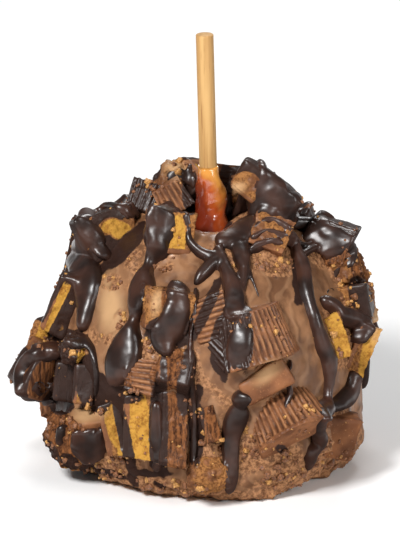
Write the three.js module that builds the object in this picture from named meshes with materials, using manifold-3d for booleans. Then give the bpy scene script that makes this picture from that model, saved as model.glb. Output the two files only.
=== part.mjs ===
// A dipped apple on a stick. Milk chocolate covers the apple, chopped chocolate cups with a peanut
// filling are pressed into it all round, and thick dark chocolate is drizzled over the top.
// Units are millimetres, +Z is up, and the middle of the flat foot is the origin.
import * as THREE from "three";
import { mergeVertices } from "three/addons/utils/BufferGeometryUtils.js";
import Module from "manifold-3d";

const wasm = await Module();
wasm.setup();

// ---------------------------------------------------------------- driving dimensions

// The coated apple is a ball, flattened where it sat to set, with a skirt and a stem hollow.
const MIDDLE_HEIGHT = 40;
const COAT_RADIUS = 55;
const SKIRT_RISE = 9;
const SKIRT_FROM = -8;
const SKIRT_TO = -38;
const FOOT_ROUND = 3;
const FOOT_FROM = -33;
const FOOT_TO = -43;
const HOLLOW_DEPTH = 9;
const HOLLOW_FROM = 64;
const HOLLOW_TO = 86;
const COAT_COLUMNS = 26;
const COAT_ROWS = 18;

// Places where the chocolate coat is thicker: azimuth, latitude, spread in degrees, rise in mm.
const COAT_SWELLS = [
  [36, -22, 22, 5],
  [78, -18, 20, 3],
  [-35, 8, 16, 3],
  [25, 20, 22, 3],
  [150, -20, 30, 3],
  [-140, 15, 28, 3],
];

// A moulded cup, wide at its rim, with a pleated side.
const CUP_RIM_RADIUS = 17;
const CUP_FOOT_RADIUS = 13.5;
const CUP_HEIGHT = 19;
const CUP_PLEATS = 30;
const PLEAT_DEPTH = 1.3;
const CUP_PLAIN_SIDES = 10;

// A round wooden stick, pushed in half way, and the caramel that has gathered at its foot.
const STICK_DIAMETER = 6.35;
const STICK_TOP = 159;
const STICK_BOTTOM = 48;
const STICK_EDGE = 0.5;
const STICK_LEAN = 1.5;
const STICK_OFFSET = 3.6;
const STICK_SIDES = 16;
const CARAMEL_SIDES = 16;

// Clearances.
const GAP = 0.3;
const CLEARANCE_SHARE = 2.8;
const FLOOR_GAP = 0.6;

// The front is laid out on a sheet that faces a viewer who looks down by this angle. A place on it
// is millimetres across from the stick and up from the foot, and is pushed back square to the sheet.
// Places past the apple's outline are drawn in to just inside it.
const SHEET_TILT = 18;
const SHEET_OUTLINE = 0.985;
const SHEET_ROUNDS = 4;

const RANDOM_SEED = 7;

// ---------------------------------------------------------------- small helpers

const radians = THREE.MathUtils.degToRad;
const degrees = THREE.MathUtils.radToDeg;
const smoothstep = THREE.MathUtils.smoothstep;

// A repeatable source of random numbers from 0 to 1.
function seededRandom(seed) {
  let state = seed;
  return () => {
    state = (state * 16807) % 2147483647;
    return state / 2147483647;
  };
}

// The direction that leaves the apple's middle at an azimuth and a latitude. Azimuth 0 is the
// front, -Y, and 90 is the right, +X.
function direction(azimuth, latitude) {
  const level = Math.cos(radians(latitude));
  return new THREE.Vector3(
    level * Math.sin(radians(azimuth)),
    -level * Math.cos(radians(azimuth)),
    Math.sin(radians(latitude)),
  );
}

function anglesOf(vector) {
  return {
    azimuth: degrees(Math.atan2(vector.x, -vector.y)),
    latitude: degrees(Math.asin(vector.z / vector.length())),
  };
}

// How far the bare coat reaches from the apple's middle, before the foot is flattened.
function coatReach(azimuth, latitude) {
  const skirt = SKIRT_RISE * smoothstep(-latitude, -SKIRT_FROM, -SKIRT_TO);
  const rounding = FOOT_ROUND * smoothstep(-latitude, -FOOT_FROM, -FOOT_TO);
  const hollow = HOLLOW_DEPTH * smoothstep(latitude, HOLLOW_FROM, HOLLOW_TO);
  const here = direction(azimuth, latitude);
  let swell = 0;
  for (const [swellAzimuth, swellLatitude, spread, rise] of COAT_SWELLS) {
    const away = degrees(here.angleTo(direction(swellAzimuth, swellLatitude)));
    swell += rise * Math.exp(-((away / spread) ** 2));
  }
  return COAT_RADIUS + skirt - rounding - hollow + swell;
}

// The point of the bare coat in a direction, with the foot cut off flat at height 0.
function coatPoint(azimuth, latitude) {
  const out = direction(azimuth, latitude);
  let reach = coatReach(azimuth, latitude);
  if (out.z < 0) reach = Math.min(reach, -MIDDLE_HEIGHT / out.z);
  return out.multiplyScalar(reach).add(new THREE.Vector3(0, 0, MIDDLE_HEIGHT));
}

// The azimuth and latitude at which a place on the sheet meets the coat, or a shell above it.
function sheetPlace(across, up, lift = 0) {
  const tilt = radians(SHEET_TILT);
  const offUp = up - MIDDLE_HEIGHT * Math.cos(tilt);
  let reach = COAT_RADIUS + lift;
  let place;
  for (let round = 0; round < SHEET_ROUNDS; round += 1) {
    const aside = across * across + offUp * offUp;
    const shrink = Math.min(1, (SHEET_OUTLINE * reach) / Math.sqrt(aside));
    const toward = Math.sqrt(reach * reach - aside * shrink * shrink);
    const vector = new THREE.Vector3(
      across * shrink,
      offUp * shrink * Math.sin(tilt) - toward * Math.cos(tilt),
      offUp * shrink * Math.cos(tilt) + toward * Math.sin(tilt),
    );
    place = anglesOf(vector);
    reach = coatReach(place.azimuth, place.latitude) + lift;
  }
  return place;
}

// A closed mesh in world space as a solid that can be cut and joined.
function solidOf(mesh) {
  mesh.updateWorldMatrix(true, false);
  const loose = mesh.geometry.index ? mesh.geometry.toNonIndexed() : mesh.geometry;
  const bare = new THREE.BufferGeometry();
  bare.setAttribute("position", loose.getAttribute("position").clone());
  bare.applyMatrix4(mesh.matrixWorld);
  const merged = mergeVertices(bare, 1e-3);
  const shell = new wasm.Mesh({
    numProp: 3,
    vertProperties: merged.getAttribute("position").array,
    triVerts: new Uint32Array(merged.index.array),
  });
  return new wasm.Manifold(shell);
}

// A cut solid as geometry again, keeping only its largest body.
function geometryOf(solid) {
  const bodies = solid.decompose();
  bodies.sort((a, b) => b.volume() - a.volume());
  const shell = bodies[0].getMesh();
  const geometry = new THREE.BufferGeometry();
  geometry.setAttribute("position", new THREE.BufferAttribute(shell.vertProperties, 3));
  geometry.setIndex(new THREE.BufferAttribute(shell.triVerts, 1));
  return geometry;
}

// A geometry in a mesh's place, larger by the gap all round, as the room that the mesh needs.
function clearanceOf(mesh, geometry = mesh.geometry) {
  geometry.computeBoundingBox();
  const size = geometry.boundingBox.getSize(new THREE.Vector3());
  const middle = geometry.boundingBox.getCenter(new THREE.Vector3());
  const larger = new THREE.Mesh(geometry.clone());
  larger.geometry.translate(-middle.x, -middle.y, -middle.z);
  larger.geometry.scale(
    1 + (CLEARANCE_SHARE * GAP) / size.x,
    1 + (CLEARANCE_SHARE * GAP) / size.y,
    1 + (CLEARANCE_SHARE * GAP) / size.z,
  );
  larger.geometry.translate(middle.x, middle.y, middle.z);
  mesh.updateWorldMatrix(true, false);
  mesh.matrixWorld.decompose(larger.position, larger.quaternion, larger.scale);
  return solidOf(larger);
}

// Cuts solids away from a mesh, leaving it in its place in the scene.
function cutFrom(mesh, cutters) {
  let solid = solidOf(mesh);
  for (const cutter of cutters) {
    if (solid.intersect(cutter).volume() > 0) solid = solid.subtract(cutter);
  }
  mesh.geometry = geometryOf(solid);
  mesh.geometry.applyMatrix4(mesh.matrixWorld.clone().invert());
}

// ---------------------------------------------------------------- materials

const milkChocolate = new THREE.MeshStandardMaterial({ color: 0x8a5f42, roughness: 0.42 });
const cupChocolate = new THREE.MeshStandardMaterial({ color: 0x6f452c, roughness: 0.48 });
const peanutCrumb = new THREE.MeshStandardMaterial({ color: 0xb9803c, roughness: 0.85 });
const wood = new THREE.MeshStandardMaterial({ color: 0xe2b674, roughness: 0.7 });
const caramel = new THREE.MeshStandardMaterial({ color: 0xb9571c, roughness: 0.12 });

// ---------------------------------------------------------------- pieces of cup

// A point of an outline, by its angle and radius.
function outlinePoint(angle, radius) {
  return new THREE.Vector2(radius * Math.cos(angle), radius * Math.sin(angle));
}

// The pleated outline of a cup's rim, seen along the cup's axis.
function pleatedOutline() {
  const points = [];
  for (let i = 0; i < CUP_PLEATS * 2; i += 1) {
    const radius = i % 2 === 0 ? CUP_RIM_RADIUS : CUP_RIM_RADIUS - PLEAT_DEPTH;
    points.push(outlinePoint((i * Math.PI) / CUP_PLEATS, radius));
  }
  return points;
}

// The outline without its pleats. A cup presses the one just outside them into soft chocolate.
function plainOutline(radius) {
  const points = [];
  for (let i = 0; i < CUP_PLAIN_SIDES; i += 1) {
    points.push(outlinePoint(((i + 0.5) * 2 * Math.PI) / CUP_PLAIN_SIDES, radius));
  }
  return points;
}

// Keeps the part of an outline that lies beyond a straight cut.
function trimOutline(points, normal, distance) {
  const kept = [];
  points.forEach((point, i) => {
    const next = points[(i + 1) % points.length];
    const here = normal.dot(point) - distance;
    const there = normal.dot(next) - distance;
    if (here >= 0) kept.push(point);
    if (here * there < 0) kept.push(point.clone().lerp(next, here / (here - there)));
  });
  return kept;
}

// A chopped piece: the cup between two cuts each way across, and as much of its height as is left.
function cupPiece({ x, y, height = CUP_HEIGHT }, rim) {
  let outline = rim;
  outline = trimOutline(outline, new THREE.Vector2(1, 0), x[0]);
  outline = trimOutline(outline, new THREE.Vector2(-1, 0), -x[1]);
  outline = trimOutline(outline, new THREE.Vector2(0, 1), y[0]);
  outline = trimOutline(outline, new THREE.Vector2(0, -1), -y[1]);
  const geometry = new THREE.ExtrudeGeometry(new THREE.Shape(outline), {
    depth: height,
    bevelEnabled: false,
  });
  const corners = geometry.getAttribute("position");
  const foot = CUP_FOOT_RADIUS / CUP_RIM_RADIUS;
  for (let i = 0; i < corners.count; i += 1) {
    const taper = foot + (1 - foot) * (corners.getZ(i) / CUP_HEIGHT);
    corners.setXY(i, corners.getX(i) * taper, corners.getY(i) * taper);
  }
  geometry.center();
  return geometry;
}

// A crumbly broken lump: a ball with dented sides, of a given size each way.
const LUMP_SMALLEST = 0.82;
const LUMP_LARGEST = 1.14;
function lumpPiece({ size, seed }) {
  const random = seededRandom(seed);
  const ball = new THREE.IcosahedronGeometry(0.5, 1);
  ball.deleteAttribute("normal");
  ball.deleteAttribute("uv");
  const geometry = mergeVertices(ball, 1e-3);
  const corners = geometry.getAttribute("position");
  for (let i = 0; i < corners.count; i += 1) {
    const dent = THREE.MathUtils.lerp(LUMP_SMALLEST, LUMP_LARGEST, random());
    corners.setXYZ(
      i,
      corners.getX(i) * size[0] * dent,
      corners.getY(i) * size[1] * dent,
      corners.getZ(i) * size[2] * dent,
    );
  }
  return geometry;
}

// What is left of a cup after it is chopped: between two cuts across, two cuts the other way, and
// the height that is left from the foot up.
const R = CUP_RIM_RADIUS;
const MOST = { x: [-5, R], y: [-R, 13] };
const HALF = { x: [0, R], y: [-R, R] };
const SHORT_HALF = { x: [0, 15], y: [-12, 11], height: 17 };
const NARROW_HALF = { x: [0, R], y: [-14, 14] };
const LOW_HALF = { x: [0, 15], y: [-15, 14], height: 12.5 };
const THIRD = { x: [5, R], y: [-R, R] };
const WEDGE = { x: [0, R], y: [-R, 3] };
const BLOCK = { x: [0, 12], y: [-10, 9], height: 15 };
const SHORT_BLOCK = { x: [0, 12], y: [-8, 8], height: 13 };
const LONG_BLOCK = { x: [-5, 5], y: [-6, 5] };
const THICK_BLOCK = { x: [-4, 8], y: [-9, 9], height: 16 };
const SLAB = { x: [-5, 4], y: [-R, R] };
const BAND = { x: [0, 10], y: [-14, 13], height: 13.5 };
const NARROW_BAND = { x: [0, 9], y: [-14, 13], height: 10 };
const THIN_BAND = { x: [0, 8], y: [-12, 11], height: 8 };
const SHORT_BAND = { x: [0, 8], y: [-10, 9], height: 8 };
const PLANK = { x: [-4, 5], y: [-R, R], height: 10 };
const SHORT_PLANK = { x: [-3, 4], y: [-9, 9], height: 8 };
const SLIVER = { x: [-3, 4], y: [-8, 8], height: 6 };
const CHIP = { x: [7, R], y: [-10, 10], height: 13 };
const SMALL_CHIP = { x: [9, R], y: [-7, 7], height: 11 };

// Pieces on the front, each with its place on the sheet, as the viewer sees it. lift is how far the
// middle of the piece stands above the coat, turn is the way that the cup's rim points, clockwise
// from up, pitch tips the rim towards the viewer, and out is the side of the outline that the
// viewer sees: 0 pleats, 180 the cut.
const FRONT_PIECES = [
  // Round the stem hollow.
  { name: "crown_pleats_left", across: -12.5, up: 94.5, lift: 10, cup: SMALL_CHIP, turn: 150,
    pitch: -10, out: 0, pleated: true },
  { name: "crown_dark_left", across: -22, up: 93, lift: 7, cup: SMALL_CHIP, turn: 20, pitch: -20,
    out: 0, pleated: true },
  { name: "crown_large_right", across: 21.5, up: 95.5, lift: 12, cup: LOW_HALF, turn: 38,
    pitch: 12, out: 180 },
  { name: "crown_crumb_left", azimuth: -142, latitude: 73, lift: 9, lump: [17, 15, 18], seed: 3 },
  { name: "crown_crumb_back", azimuth: 150, latitude: 74, lift: 6, lump: [12, 11, 12], seed: 5 },
  // The shoulder.
  { name: "shoulder_large_left", across: -36, up: 80, lift: 3, cup: SHORT_HALF, turn: -20,
    pitch: 5, out: 165 },
  { name: "shoulder_blob_left", across: -13, up: 80.5, lift: 3, cup: BLOCK, turn: 5, pitch: 0,
    out: 175 },
  { name: "shoulder_striped", across: 22.5, up: 79, lift: 2, cup: SHORT_BLOCK, turn: 20,
    pitch: -20, out: 180 },
  { name: "shoulder_dark_right", across: 45, up: 77, lift: 3, cup: SHORT_HALF, turn: 115, pitch: 5,
    out: -10, pleated: true },
  // The right side.
  { name: "side_hollow_right", across: 60, up: 56, lift: 3, cup: BLOCK, turn: -10, pitch: 0, out: 100 },
  { name: "side_gold_right", across: 55.5, up: 38, lift: 3, cup: THIN_BAND, turn: 112, pitch: -10,
    out: 180 },
  { name: "side_band_right", across: 46, up: 43, lift: 1, cup: SHORT_BAND, turn: 71, pitch: -10,
    out: 180 },
  { name: "side_crumb_right", across: 53, up: 72, lift: 4, lump: [15, 25, 14], seed: 11 },
  // The middle.
  { name: "middle_large", across: 21, up: 45, lift: 1, cup: HALF, turn: 165, pitch: -5, out: 50,
    pleated: true },
  { name: "middle_lobe", across: 21, up: 27.5, lift: 0, cup: LONG_BLOCK, turn: 60, pitch: 0, out: 0 },
  { name: "middle_dark_ridges", across: 5.5, up: 39, lift: 0, cup: SMALL_CHIP, turn: 130, pitch: 5,
    out: -30, pleated: true },
  { name: "middle_ridged", across: 2, up: 50, lift: 1, cup: CHIP, turn: 75, pitch: 10, out: 15,
    pleated: true },
  // The left side.
  { name: "left_chunk", across: -14, up: 53, lift: 1, cup: BLOCK, turn: 10, pitch: 5, out: 170 },
  { name: "left_red_mass", across: -11, up: 32, lift: 0, cup: SHORT_BLOCK, turn: 100, pitch: 5,
    out: 20 },
  { name: "left_ridged", across: -23, up: 29.5, lift: 2, cup: SMALL_CHIP, turn: 100, pitch: 5,
    out: 10, pleated: true },
  { name: "far_left_lobe", across: -57.5, up: 30, lift: 5, cup: WEDGE, turn: -150, pitch: -10,
    out: 30 },
  { name: "left_long_slab", across: -51, up: 55, lift: 3, cup: NARROW_BAND, turn: 112, pitch: 0,
    out: 160 },
  { name: "left_plank_outer", across: -50.5, up: 27.5, lift: 2, cup: SHORT_PLANK, turn: 95,
    pitch: 0, out: 170 },
  { name: "left_plank_inner", across: -43.5, up: 26.5, lift: 1, cup: SHORT_PLANK, turn: 95,
    pitch: 0, out: 180 },
  { name: "left_nub", across: -60, up: 44, lift: 5, lump: [9, 12, 9], seed: 29 },
  { name: "left_bead", across: -47, up: 39, lift: 3, lump: [11, 11, 10], seed: 31 },
  // Along the foot.
  { name: "low_mass_right", across: 46, up: 8, lift: -2, cup: THICK_BLOCK, turn: 10, pitch: 15,
    out: 170 },
  { name: "low_pleats_right", across: 27.5, up: 16.5, lift: 1, cup: NARROW_HALF, turn: 152,
    pitch: 20, out: 5, pleated: true },
  { name: "low_gold_thin", across: -33, up: 10.5, lift: 1, cup: THIN_BAND, turn: 77, pitch: 0,
    out: 180 },
  { name: "low_gold_large", across: -22, up: 12, lift: 2, cup: BAND, turn: 92, pitch: 5, out: 175 },
  { name: "low_rough_slab", across: -11.5, up: 11.5, lift: 1, cup: PLANK, turn: 92, pitch: 0,
    out: 180 },
  { name: "low_tan_middle", across: 1.5, up: 12.5, lift: 1, cup: SLIVER, turn: 75, pitch: 0, out: 180 },
  { name: "low_dome_left", across: -41, up: 10.5, lift: 1, cup: SHORT_BLOCK, turn: -8, pitch: 35,
    out: 0 },
  { name: "low_crumb_middle", across: 0.5, up: -6, lift: 2, lump: [15, 15, 12], seed: 19 },
  { name: "low_crumb_left", across: -49, up: 5.5, lift: 3, lump: [22, 23, 15], seed: 23 },
];

// Rows of pieces round the back: latitude, how many, first azimuth, last azimuth and lift.
const BACK_ROWS = [
  { name: "back_low", latitude: -24, count: 5, from: 134, to: 238, lift: -1 },
  { name: "back_middle", latitude: -2, count: 6, from: 122, to: 244, lift: 1 },
  { name: "back_upper", latitude: 19, count: 5, from: 116, to: 229, lift: 2 },
  { name: "back_shoulder", latitude: 39, count: 4, from: 138, to: 218, lift: -2 },
  { name: "back_crown", latitude: 65, count: 2, from: 146, to: 203, lift: 3 },
];
const BACK_CUPS = [HALF, MOST, HALF, SLAB, WEDGE, BAND, THIRD];
const BACK_OUTS = [0, 40, 150, 180];
const BACK_PLEATED_SHARE = 0.3;
// How far the azimuth, the latitude, the lift and the pitch of a piece stray from its row's, in all.
const BACK_STRAY = { azimuth: 6, latitude: 8, lift: 2, pitch: 40 };

function backPieces() {
  const random = seededRandom(RANDOM_SEED);
  const pieces = [];
  for (const row of BACK_ROWS) {
    for (let i = 0; i < row.count; i += 1) {
      const share = i / (row.count - 1);
      pieces.push({
        name: `${row.name}_${i + 1}`,
        azimuth: row.from + (row.to - row.from) * share + BACK_STRAY.azimuth * (random() - 0.5),
        latitude: row.latitude + BACK_STRAY.latitude * (random() - 0.5),
        lift: row.lift + BACK_STRAY.lift * (random() - 0.5),
        cup: BACK_CUPS[Math.floor(random() * BACK_CUPS.length)],
        turn: 360 * random(),
        pitch: BACK_STRAY.pitch * (random() - 0.5),
        out: BACK_OUTS[Math.floor(random() * BACK_OUTS.length)],
        pleated: random() < BACK_PLEATED_SHARE,
      });
    }
  }
  return pieces;
}

// A group whose X runs right, Y runs up and Z runs out of the coat at a place.
function surfaceFrame(azimuth, latitude, lift) {
  const out = direction(azimuth, latitude);
  const right = direction(azimuth + 90, 0);
  const up = new THREE.Vector3().crossVectors(out, right);
  const frame = new THREE.Group();
  frame.position.copy(coatPoint(azimuth, latitude)).addScaledVector(out, lift);
  frame.quaternion.setFromRotationMatrix(new THREE.Matrix4().makeBasis(right, up, out));
  return frame;
}

// A group at the same place whose axes are the sheet's: X right, Y up and Z towards the viewer.
function sheetFrame(azimuth, latitude, lift) {
  const frame = surfaceFrame(azimuth, latitude, lift);
  frame.rotation.set(Math.PI / 2 - radians(SHEET_TILT), 0, 0);
  return frame;
}

// Turns a cup piece in its frame: its axis to turn and pitch, and its out side along Z.
function turnCup(mesh, { turn, pitch, out }) {
  const along = new THREE.Vector3(Math.sin(radians(turn)), Math.cos(radians(turn)), 0);
  const outward = new THREE.Vector3(0, 0, 1);
  const side = new THREE.Vector3().crossVectors(along, outward);
  const axis = along.clone().multiplyScalar(Math.cos(radians(pitch)));
  axis.addScaledVector(outward, Math.sin(radians(pitch)));
  const face = outward.clone().multiplyScalar(Math.cos(radians(pitch)));
  face.addScaledVector(along, -Math.sin(radians(pitch)));
  const x = face.clone().multiplyScalar(Math.cos(radians(out)));
  x.addScaledVector(side, -Math.sin(radians(out)));
  const y = face.clone().multiplyScalar(Math.sin(radians(out)));
  y.addScaledVector(side, Math.cos(radians(out)));
  mesh.quaternion.setFromRotationMatrix(new THREE.Matrix4().makeBasis(x, y, axis));
}

function toppingMesh(piece) {
  const place = piece.across === undefined ? piece : sheetPlace(piece.across, piece.up, piece.lift);
  const frameAt = piece.cup && piece.across !== undefined ? sheetFrame : surfaceFrame;
  const frame = frameAt(place.azimuth, place.latitude, piece.lift);
  const rim = piece.pleated ? pleatedOutline() : plainOutline(CUP_RIM_RADIUS);
  const geometry = piece.lump
    ? lumpPiece({ size: piece.lump, seed: piece.seed })
    : cupPiece(piece.cup, rim);
  const mesh = new THREE.Mesh(geometry, piece.lump ? peanutCrumb : cupChocolate);
  mesh.name = piece.name;
  if (piece.cup) turnCup(mesh, piece);
  frame.add(mesh);
  return mesh;
}

// ---------------------------------------------------------------- stick and caramel

// The stick and the caramel share one leaning frame.
const stickFrame = new THREE.Group();
stickFrame.position.x = STICK_OFFSET;
stickFrame.rotation.y = radians(-STICK_LEAN);

function stickGeometry(radius, bottom, top, edge) {
  const profile = [
    new THREE.Vector2(0, bottom),
    new THREE.Vector2(radius, bottom),
    new THREE.Vector2(radius, top - edge),
    new THREE.Vector2(radius - edge, top),
    new THREE.Vector2(0, top),
  ];
  const geometry = new THREE.LatheGeometry(profile, STICK_SIDES);
  geometry.rotateX(Math.PI / 2);
  return geometry;
}

function stickMesh() {
  const geometry = stickGeometry(STICK_DIAMETER / 2, STICK_BOTTOM, STICK_TOP, STICK_EDGE);
  const mesh = new THREE.Mesh(geometry, wood);
  mesh.name = "stick";
  stickFrame.add(mesh);
  return mesh;
}

// The caramel: a thin film up the stick, a swelling on its right, and a pool in the stem hollow.
const CARAMEL_RINGS = [
  [6.8, 84],
  [7.2, 86],
  [6.3, 89.5],
  [5.2, 94],
  [4.7, 100],
  [4.3, 105],
  [3.8, 109.5],
];
const CARAMEL_SWELL = { height: 98, spread: 5, rise: 1.6 };

// The caramel's outer form down to the stick's axis, or to a bore round the stick.
function caramelGeometry(inner) {
  const first = CARAMEL_RINGS[0];
  const last = CARAMEL_RINGS[CARAMEL_RINGS.length - 1];
  const profile = [new THREE.Vector2(inner, first[1])];
  for (const [radius, height] of CARAMEL_RINGS) profile.push(new THREE.Vector2(radius, height));
  profile.push(new THREE.Vector2(inner, last[1]));
  if (inner > 0) profile.push(new THREE.Vector2(inner, first[1]));
  const geometry = new THREE.LatheGeometry(profile, CARAMEL_SIDES);
  geometry.rotateX(Math.PI / 2);
  const corners = geometry.getAttribute("position");
  for (let i = 0; i < corners.count; i += 1) {
    const radius = Math.hypot(corners.getX(i), corners.getY(i));
    if (radius < inner + GAP / 2) continue;
    const near = Math.exp(-(((corners.getZ(i) - CARAMEL_SWELL.height) / CARAMEL_SWELL.spread) ** 2));
    const rightward = Math.max(0, corners.getX(i) / radius);
    corners.setX(i, corners.getX(i) + CARAMEL_SWELL.rise * near * rightward);
  }
  return geometry;
}

function caramelMesh() {
  const mesh = new THREE.Mesh(caramelGeometry(STICK_DIAMETER / 2 + GAP), caramel);
  mesh.name = "caramel";
  stickFrame.add(mesh);
  return mesh;
}

// ---------------------------------------------------------------- coat and drizzle

function coatGeometry() {
  const geometry = new THREE.SphereGeometry(1, COAT_COLUMNS, COAT_ROWS);
  geometry.rotateX(Math.PI / 2);
  const corners = geometry.getAttribute("position");
  for (let i = 0; i < corners.count; i += 1) {
    const { azimuth, latitude } = anglesOf(new THREE.Vector3().fromBufferAttribute(corners, i));
    const point = coatPoint(azimuth, latitude);
    corners.setXYZ(i, point.x, point.y, point.z);
  }
  return geometry;
}

// Drizzle on the front: places on the sheet, across and up, each with the strand's width.
const FRONT_DRIZZLE = [
  [[-14, 87, 11], [-15.5, 80, 13], [-20, 74, 6], [-23, 67, 8], [-23.5, 58, 11], [-24, 47, 5.5],
    [-27, 40, 12], [-30, 32, 15], [-31, 25, 6]],
  [[-8, 85, 5], [-6, 76, 4], [0, 71.5, 4.5], [8, 71, 7], [11, 77, 9], [17, 82, 11], [24, 87, 12],
    [30, 86, 10], [33, 80, 6], [32.5, 70, 5], [35, 56, 7], [40, 40, 8], [45.5, 29, 8], [43, 16, 6],
    [41, 5, 6], [36.5, -6, 3]],
  [[12, 74, 6], [3, 68, 7.5], [0, 63.5, 6], [-3, 61, 3]],
  [[6, 74, 6], [8.5, 62, 8], [9, 54, 7.5], [9.5, 48, 5]],
  [[-11, 64, 3], [-10, 55.5, 9], [-11, 48, 6], [-11, 39, 3]],
  [[40, 58, 6], [47, 51.5, 8], [53, 47, 8], [58, 43, 8]],
  [[53, 33, 4], [53.5, 24, 9], [48.5, 17, 6], [44, 14, 5]],
  [[5, 21, 5], [12, 20, 9], [11, 9, 9], [10, -2, 7.5], [9, -12, 4]],
  [[-28, 90, 6], [-36, 88, 8], [-43, 80, 11], [-44, 70, 9], [-45, 60, 6.5], [-47, 50, 4.5]],
  [[-57, 42, 6], [-62, 36, 10], [-64, 27, 10], [-60, 20, 5]],
  [[34, 85, 7], [42, 85, 9], [50, 80, 8], [53, 73, 5]],
  [[-3.5, 52, 3], [-3.5, 38, 3], [-2.5, 20, 3.2], [-2, 4, 3.8], [-3, -5, 3]],
];

// Drizzle round the back runs down from the crown: azimuth, sway in degrees and lowest latitude.
const BACK_DRIZZLE = [
  [100, 9, -18],
  [122, -12, -30],
  [143, 8, -5],
  [163, -10, -26],
  [184, 11, -14],
  [205, -9, -32],
  [226, 10, -8],
  [247, -8, -24],
];
const BACK_DRIZZLE_TOP = 60;
const BACK_DRIZZLE_WIDTH = [4, 8];
const BACK_DRIZZLE_STOPS = 7;
const BACK_DRIZZLE_BEADS = 9;

const DRIZZLE_THICKNESS = 5.6;
const DRIZZLE_STAND = 1.4;
// The underside sinks further than the top stands, and fills the dips between the pieces.
const DRIZZLE_FILL = 2.4;
const DRIZZLE_STEP = 7.8;
const DRIZZLE_FEWEST_STEPS = 4;
const DRIZZLE_SIDES = 5;
// A strand's ends sink into the coat, and its top is eased where it steps from piece to piece.
const DRIZZLE_END_DEPTH = 0.5;
const DRIZZLE_EASE = 1;
// The drizzle is laid from this far out, and each step looks this share of a step back and on.
const LAID_FROM = 120;
const LOOK_AROUND = 0.4;
// The shell above the coat at which the front's strands lie.
const DRIZZLE_LIFT = 8;

// One strand's stops as azimuth, latitude and width.
function drizzleRoutes() {
  const routes = FRONT_DRIZZLE.map((stops) =>
    stops.map(([across, up, width]) => ({ ...sheetPlace(across, up, DRIZZLE_LIFT), width })),
  );
  const [narrow, wide] = BACK_DRIZZLE_WIDTH;
  for (const [azimuth, sway, lowest] of BACK_DRIZZLE) {
    const stops = [];
    for (let i = 0; i < BACK_DRIZZLE_STOPS; i += 1) {
      const share = i / (BACK_DRIZZLE_STOPS - 1);
      const wave = Math.sin(share * 2 * Math.PI + azimuth);
      stops.push({
        azimuth: azimuth + sway * wave,
        latitude: BACK_DRIZZLE_TOP + (lowest - BACK_DRIZZLE_TOP) * share,
        width: narrow + (wide - narrow) * (0.5 + 0.5 * Math.cos(share * BACK_DRIZZLE_BEADS + azimuth)),
      });
    }
    routes.push(stops);
  }
  return routes;
}

// How far the pieces or the coat reach from the apple's middle in a direction.
const raycaster = new THREE.Raycaster();
function outerReach(out, meshes) {
  const middle = new THREE.Vector3(0, 0, MIDDLE_HEIGHT);
  raycaster.set(middle.clone().addScaledVector(out, LAID_FROM), out.clone().negate());
  const hit = raycaster.intersectObjects(meshes, false)[0];
  return hit ? LAID_FROM - hit.distance : 0;
}

// A strand laid over the coat and the pieces: a tube whose width follows the stops.
function strandSolid(stops, meshes) {
  const knots = stops.map((stop) => direction(stop.azimuth, stop.latitude));
  const path = new THREE.CatmullRomCurve3(knots);
  const length = path.getLength() * COAT_RADIUS;
  const steps = Math.max(DRIZZLE_FEWEST_STEPS, Math.round(length / DRIZZLE_STEP));
  const heights = [];
  const widths = [];
  const ways = [];
  for (let i = 0; i <= steps; i += 1) {
    const share = i / steps;
    const way = path.getPoint(share).normalize();
    const { azimuth, latitude } = anglesOf(way);
    const stop = share * (stops.length - 1);
    const low = Math.min(stops.length - 2, Math.floor(stop));
    const blend = stop - low;
    widths.push(stops[low].width * (1 - blend) + stops[low + 1].width * blend);
    const end = i === 0 || i === steps;
    const bare = coatReach(azimuth, latitude);
    let reach = bare;
    for (const shift of [-LOOK_AROUND, 0, LOOK_AROUND]) {
      const near = THREE.MathUtils.clamp(share + shift / steps, 0, 1);
      reach = Math.max(reach, outerReach(path.getPoint(near).normalize(), meshes));
    }
    heights.push(end ? bare - DRIZZLE_END_DEPTH : reach + DRIZZLE_STAND);
    ways.push(way);
  }
  const points = ways.map((way, i) => {
    const before = heights[Math.max(0, i - 1)];
    const after = heights[Math.min(steps, i + 1)];
    const eased = Math.max((before + 2 * heights[i] + after) / 4, heights[i] - DRIZZLE_EASE);
    const height = i === 0 || i === steps ? heights[i] : eased;
    return way.clone().multiplyScalar(height).add(new THREE.Vector3(0, 0, MIDDLE_HEIGHT));
  });
  const route = new THREE.CatmullRomCurve3(points);
  const section = new THREE.Shape();
  for (let i = 0; i < DRIZZLE_SIDES; i += 1) {
    const angle = (i * 2 * Math.PI) / DRIZZLE_SIDES;
    if (i === 0) section.moveTo(Math.cos(angle), Math.sin(angle));
    else section.lineTo(Math.cos(angle), Math.sin(angle));
  }
  const geometry = new THREE.ExtrudeGeometry(section, { steps, extrudePath: route, bevelEnabled: false });
  const corners = geometry.getAttribute("position");
  const rungs = points.map((_, i) => route.getPointAt(i / steps));
  for (let i = 0; i < corners.count; i += 1) {
    const corner = new THREE.Vector3().fromBufferAttribute(corners, i);
    let nearest = 0;
    rungs.forEach((rung, j) => {
      if (corner.distanceTo(rung) < corner.distanceTo(rungs[nearest])) nearest = j;
    });
    const away = corner.clone().sub(rungs[nearest]);
    const up = away.dot(ways[nearest]);
    const sideways = away.clone().addScaledVector(ways[nearest], -up);
    const thickness = Math.min(DRIZZLE_THICKNESS, widths[nearest]) * (up < 0 ? DRIZZLE_FILL : 1);
    corner.copy(rungs[nearest]);
    corner.addScaledVector(ways[nearest], (up * thickness) / 2);
    corner.addScaledVector(sideways, widths[nearest] / 2);
    corners.setXYZ(i, corner.x, corner.y, corner.z);
  }
  return solidOf(new THREE.Mesh(geometry));
}

// ---------------------------------------------------------------- the apple, put together

const apple = new THREE.Group();
apple.add(stickFrame);
const stick = stickMesh();
const caramelCollar = caramelMesh();

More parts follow.
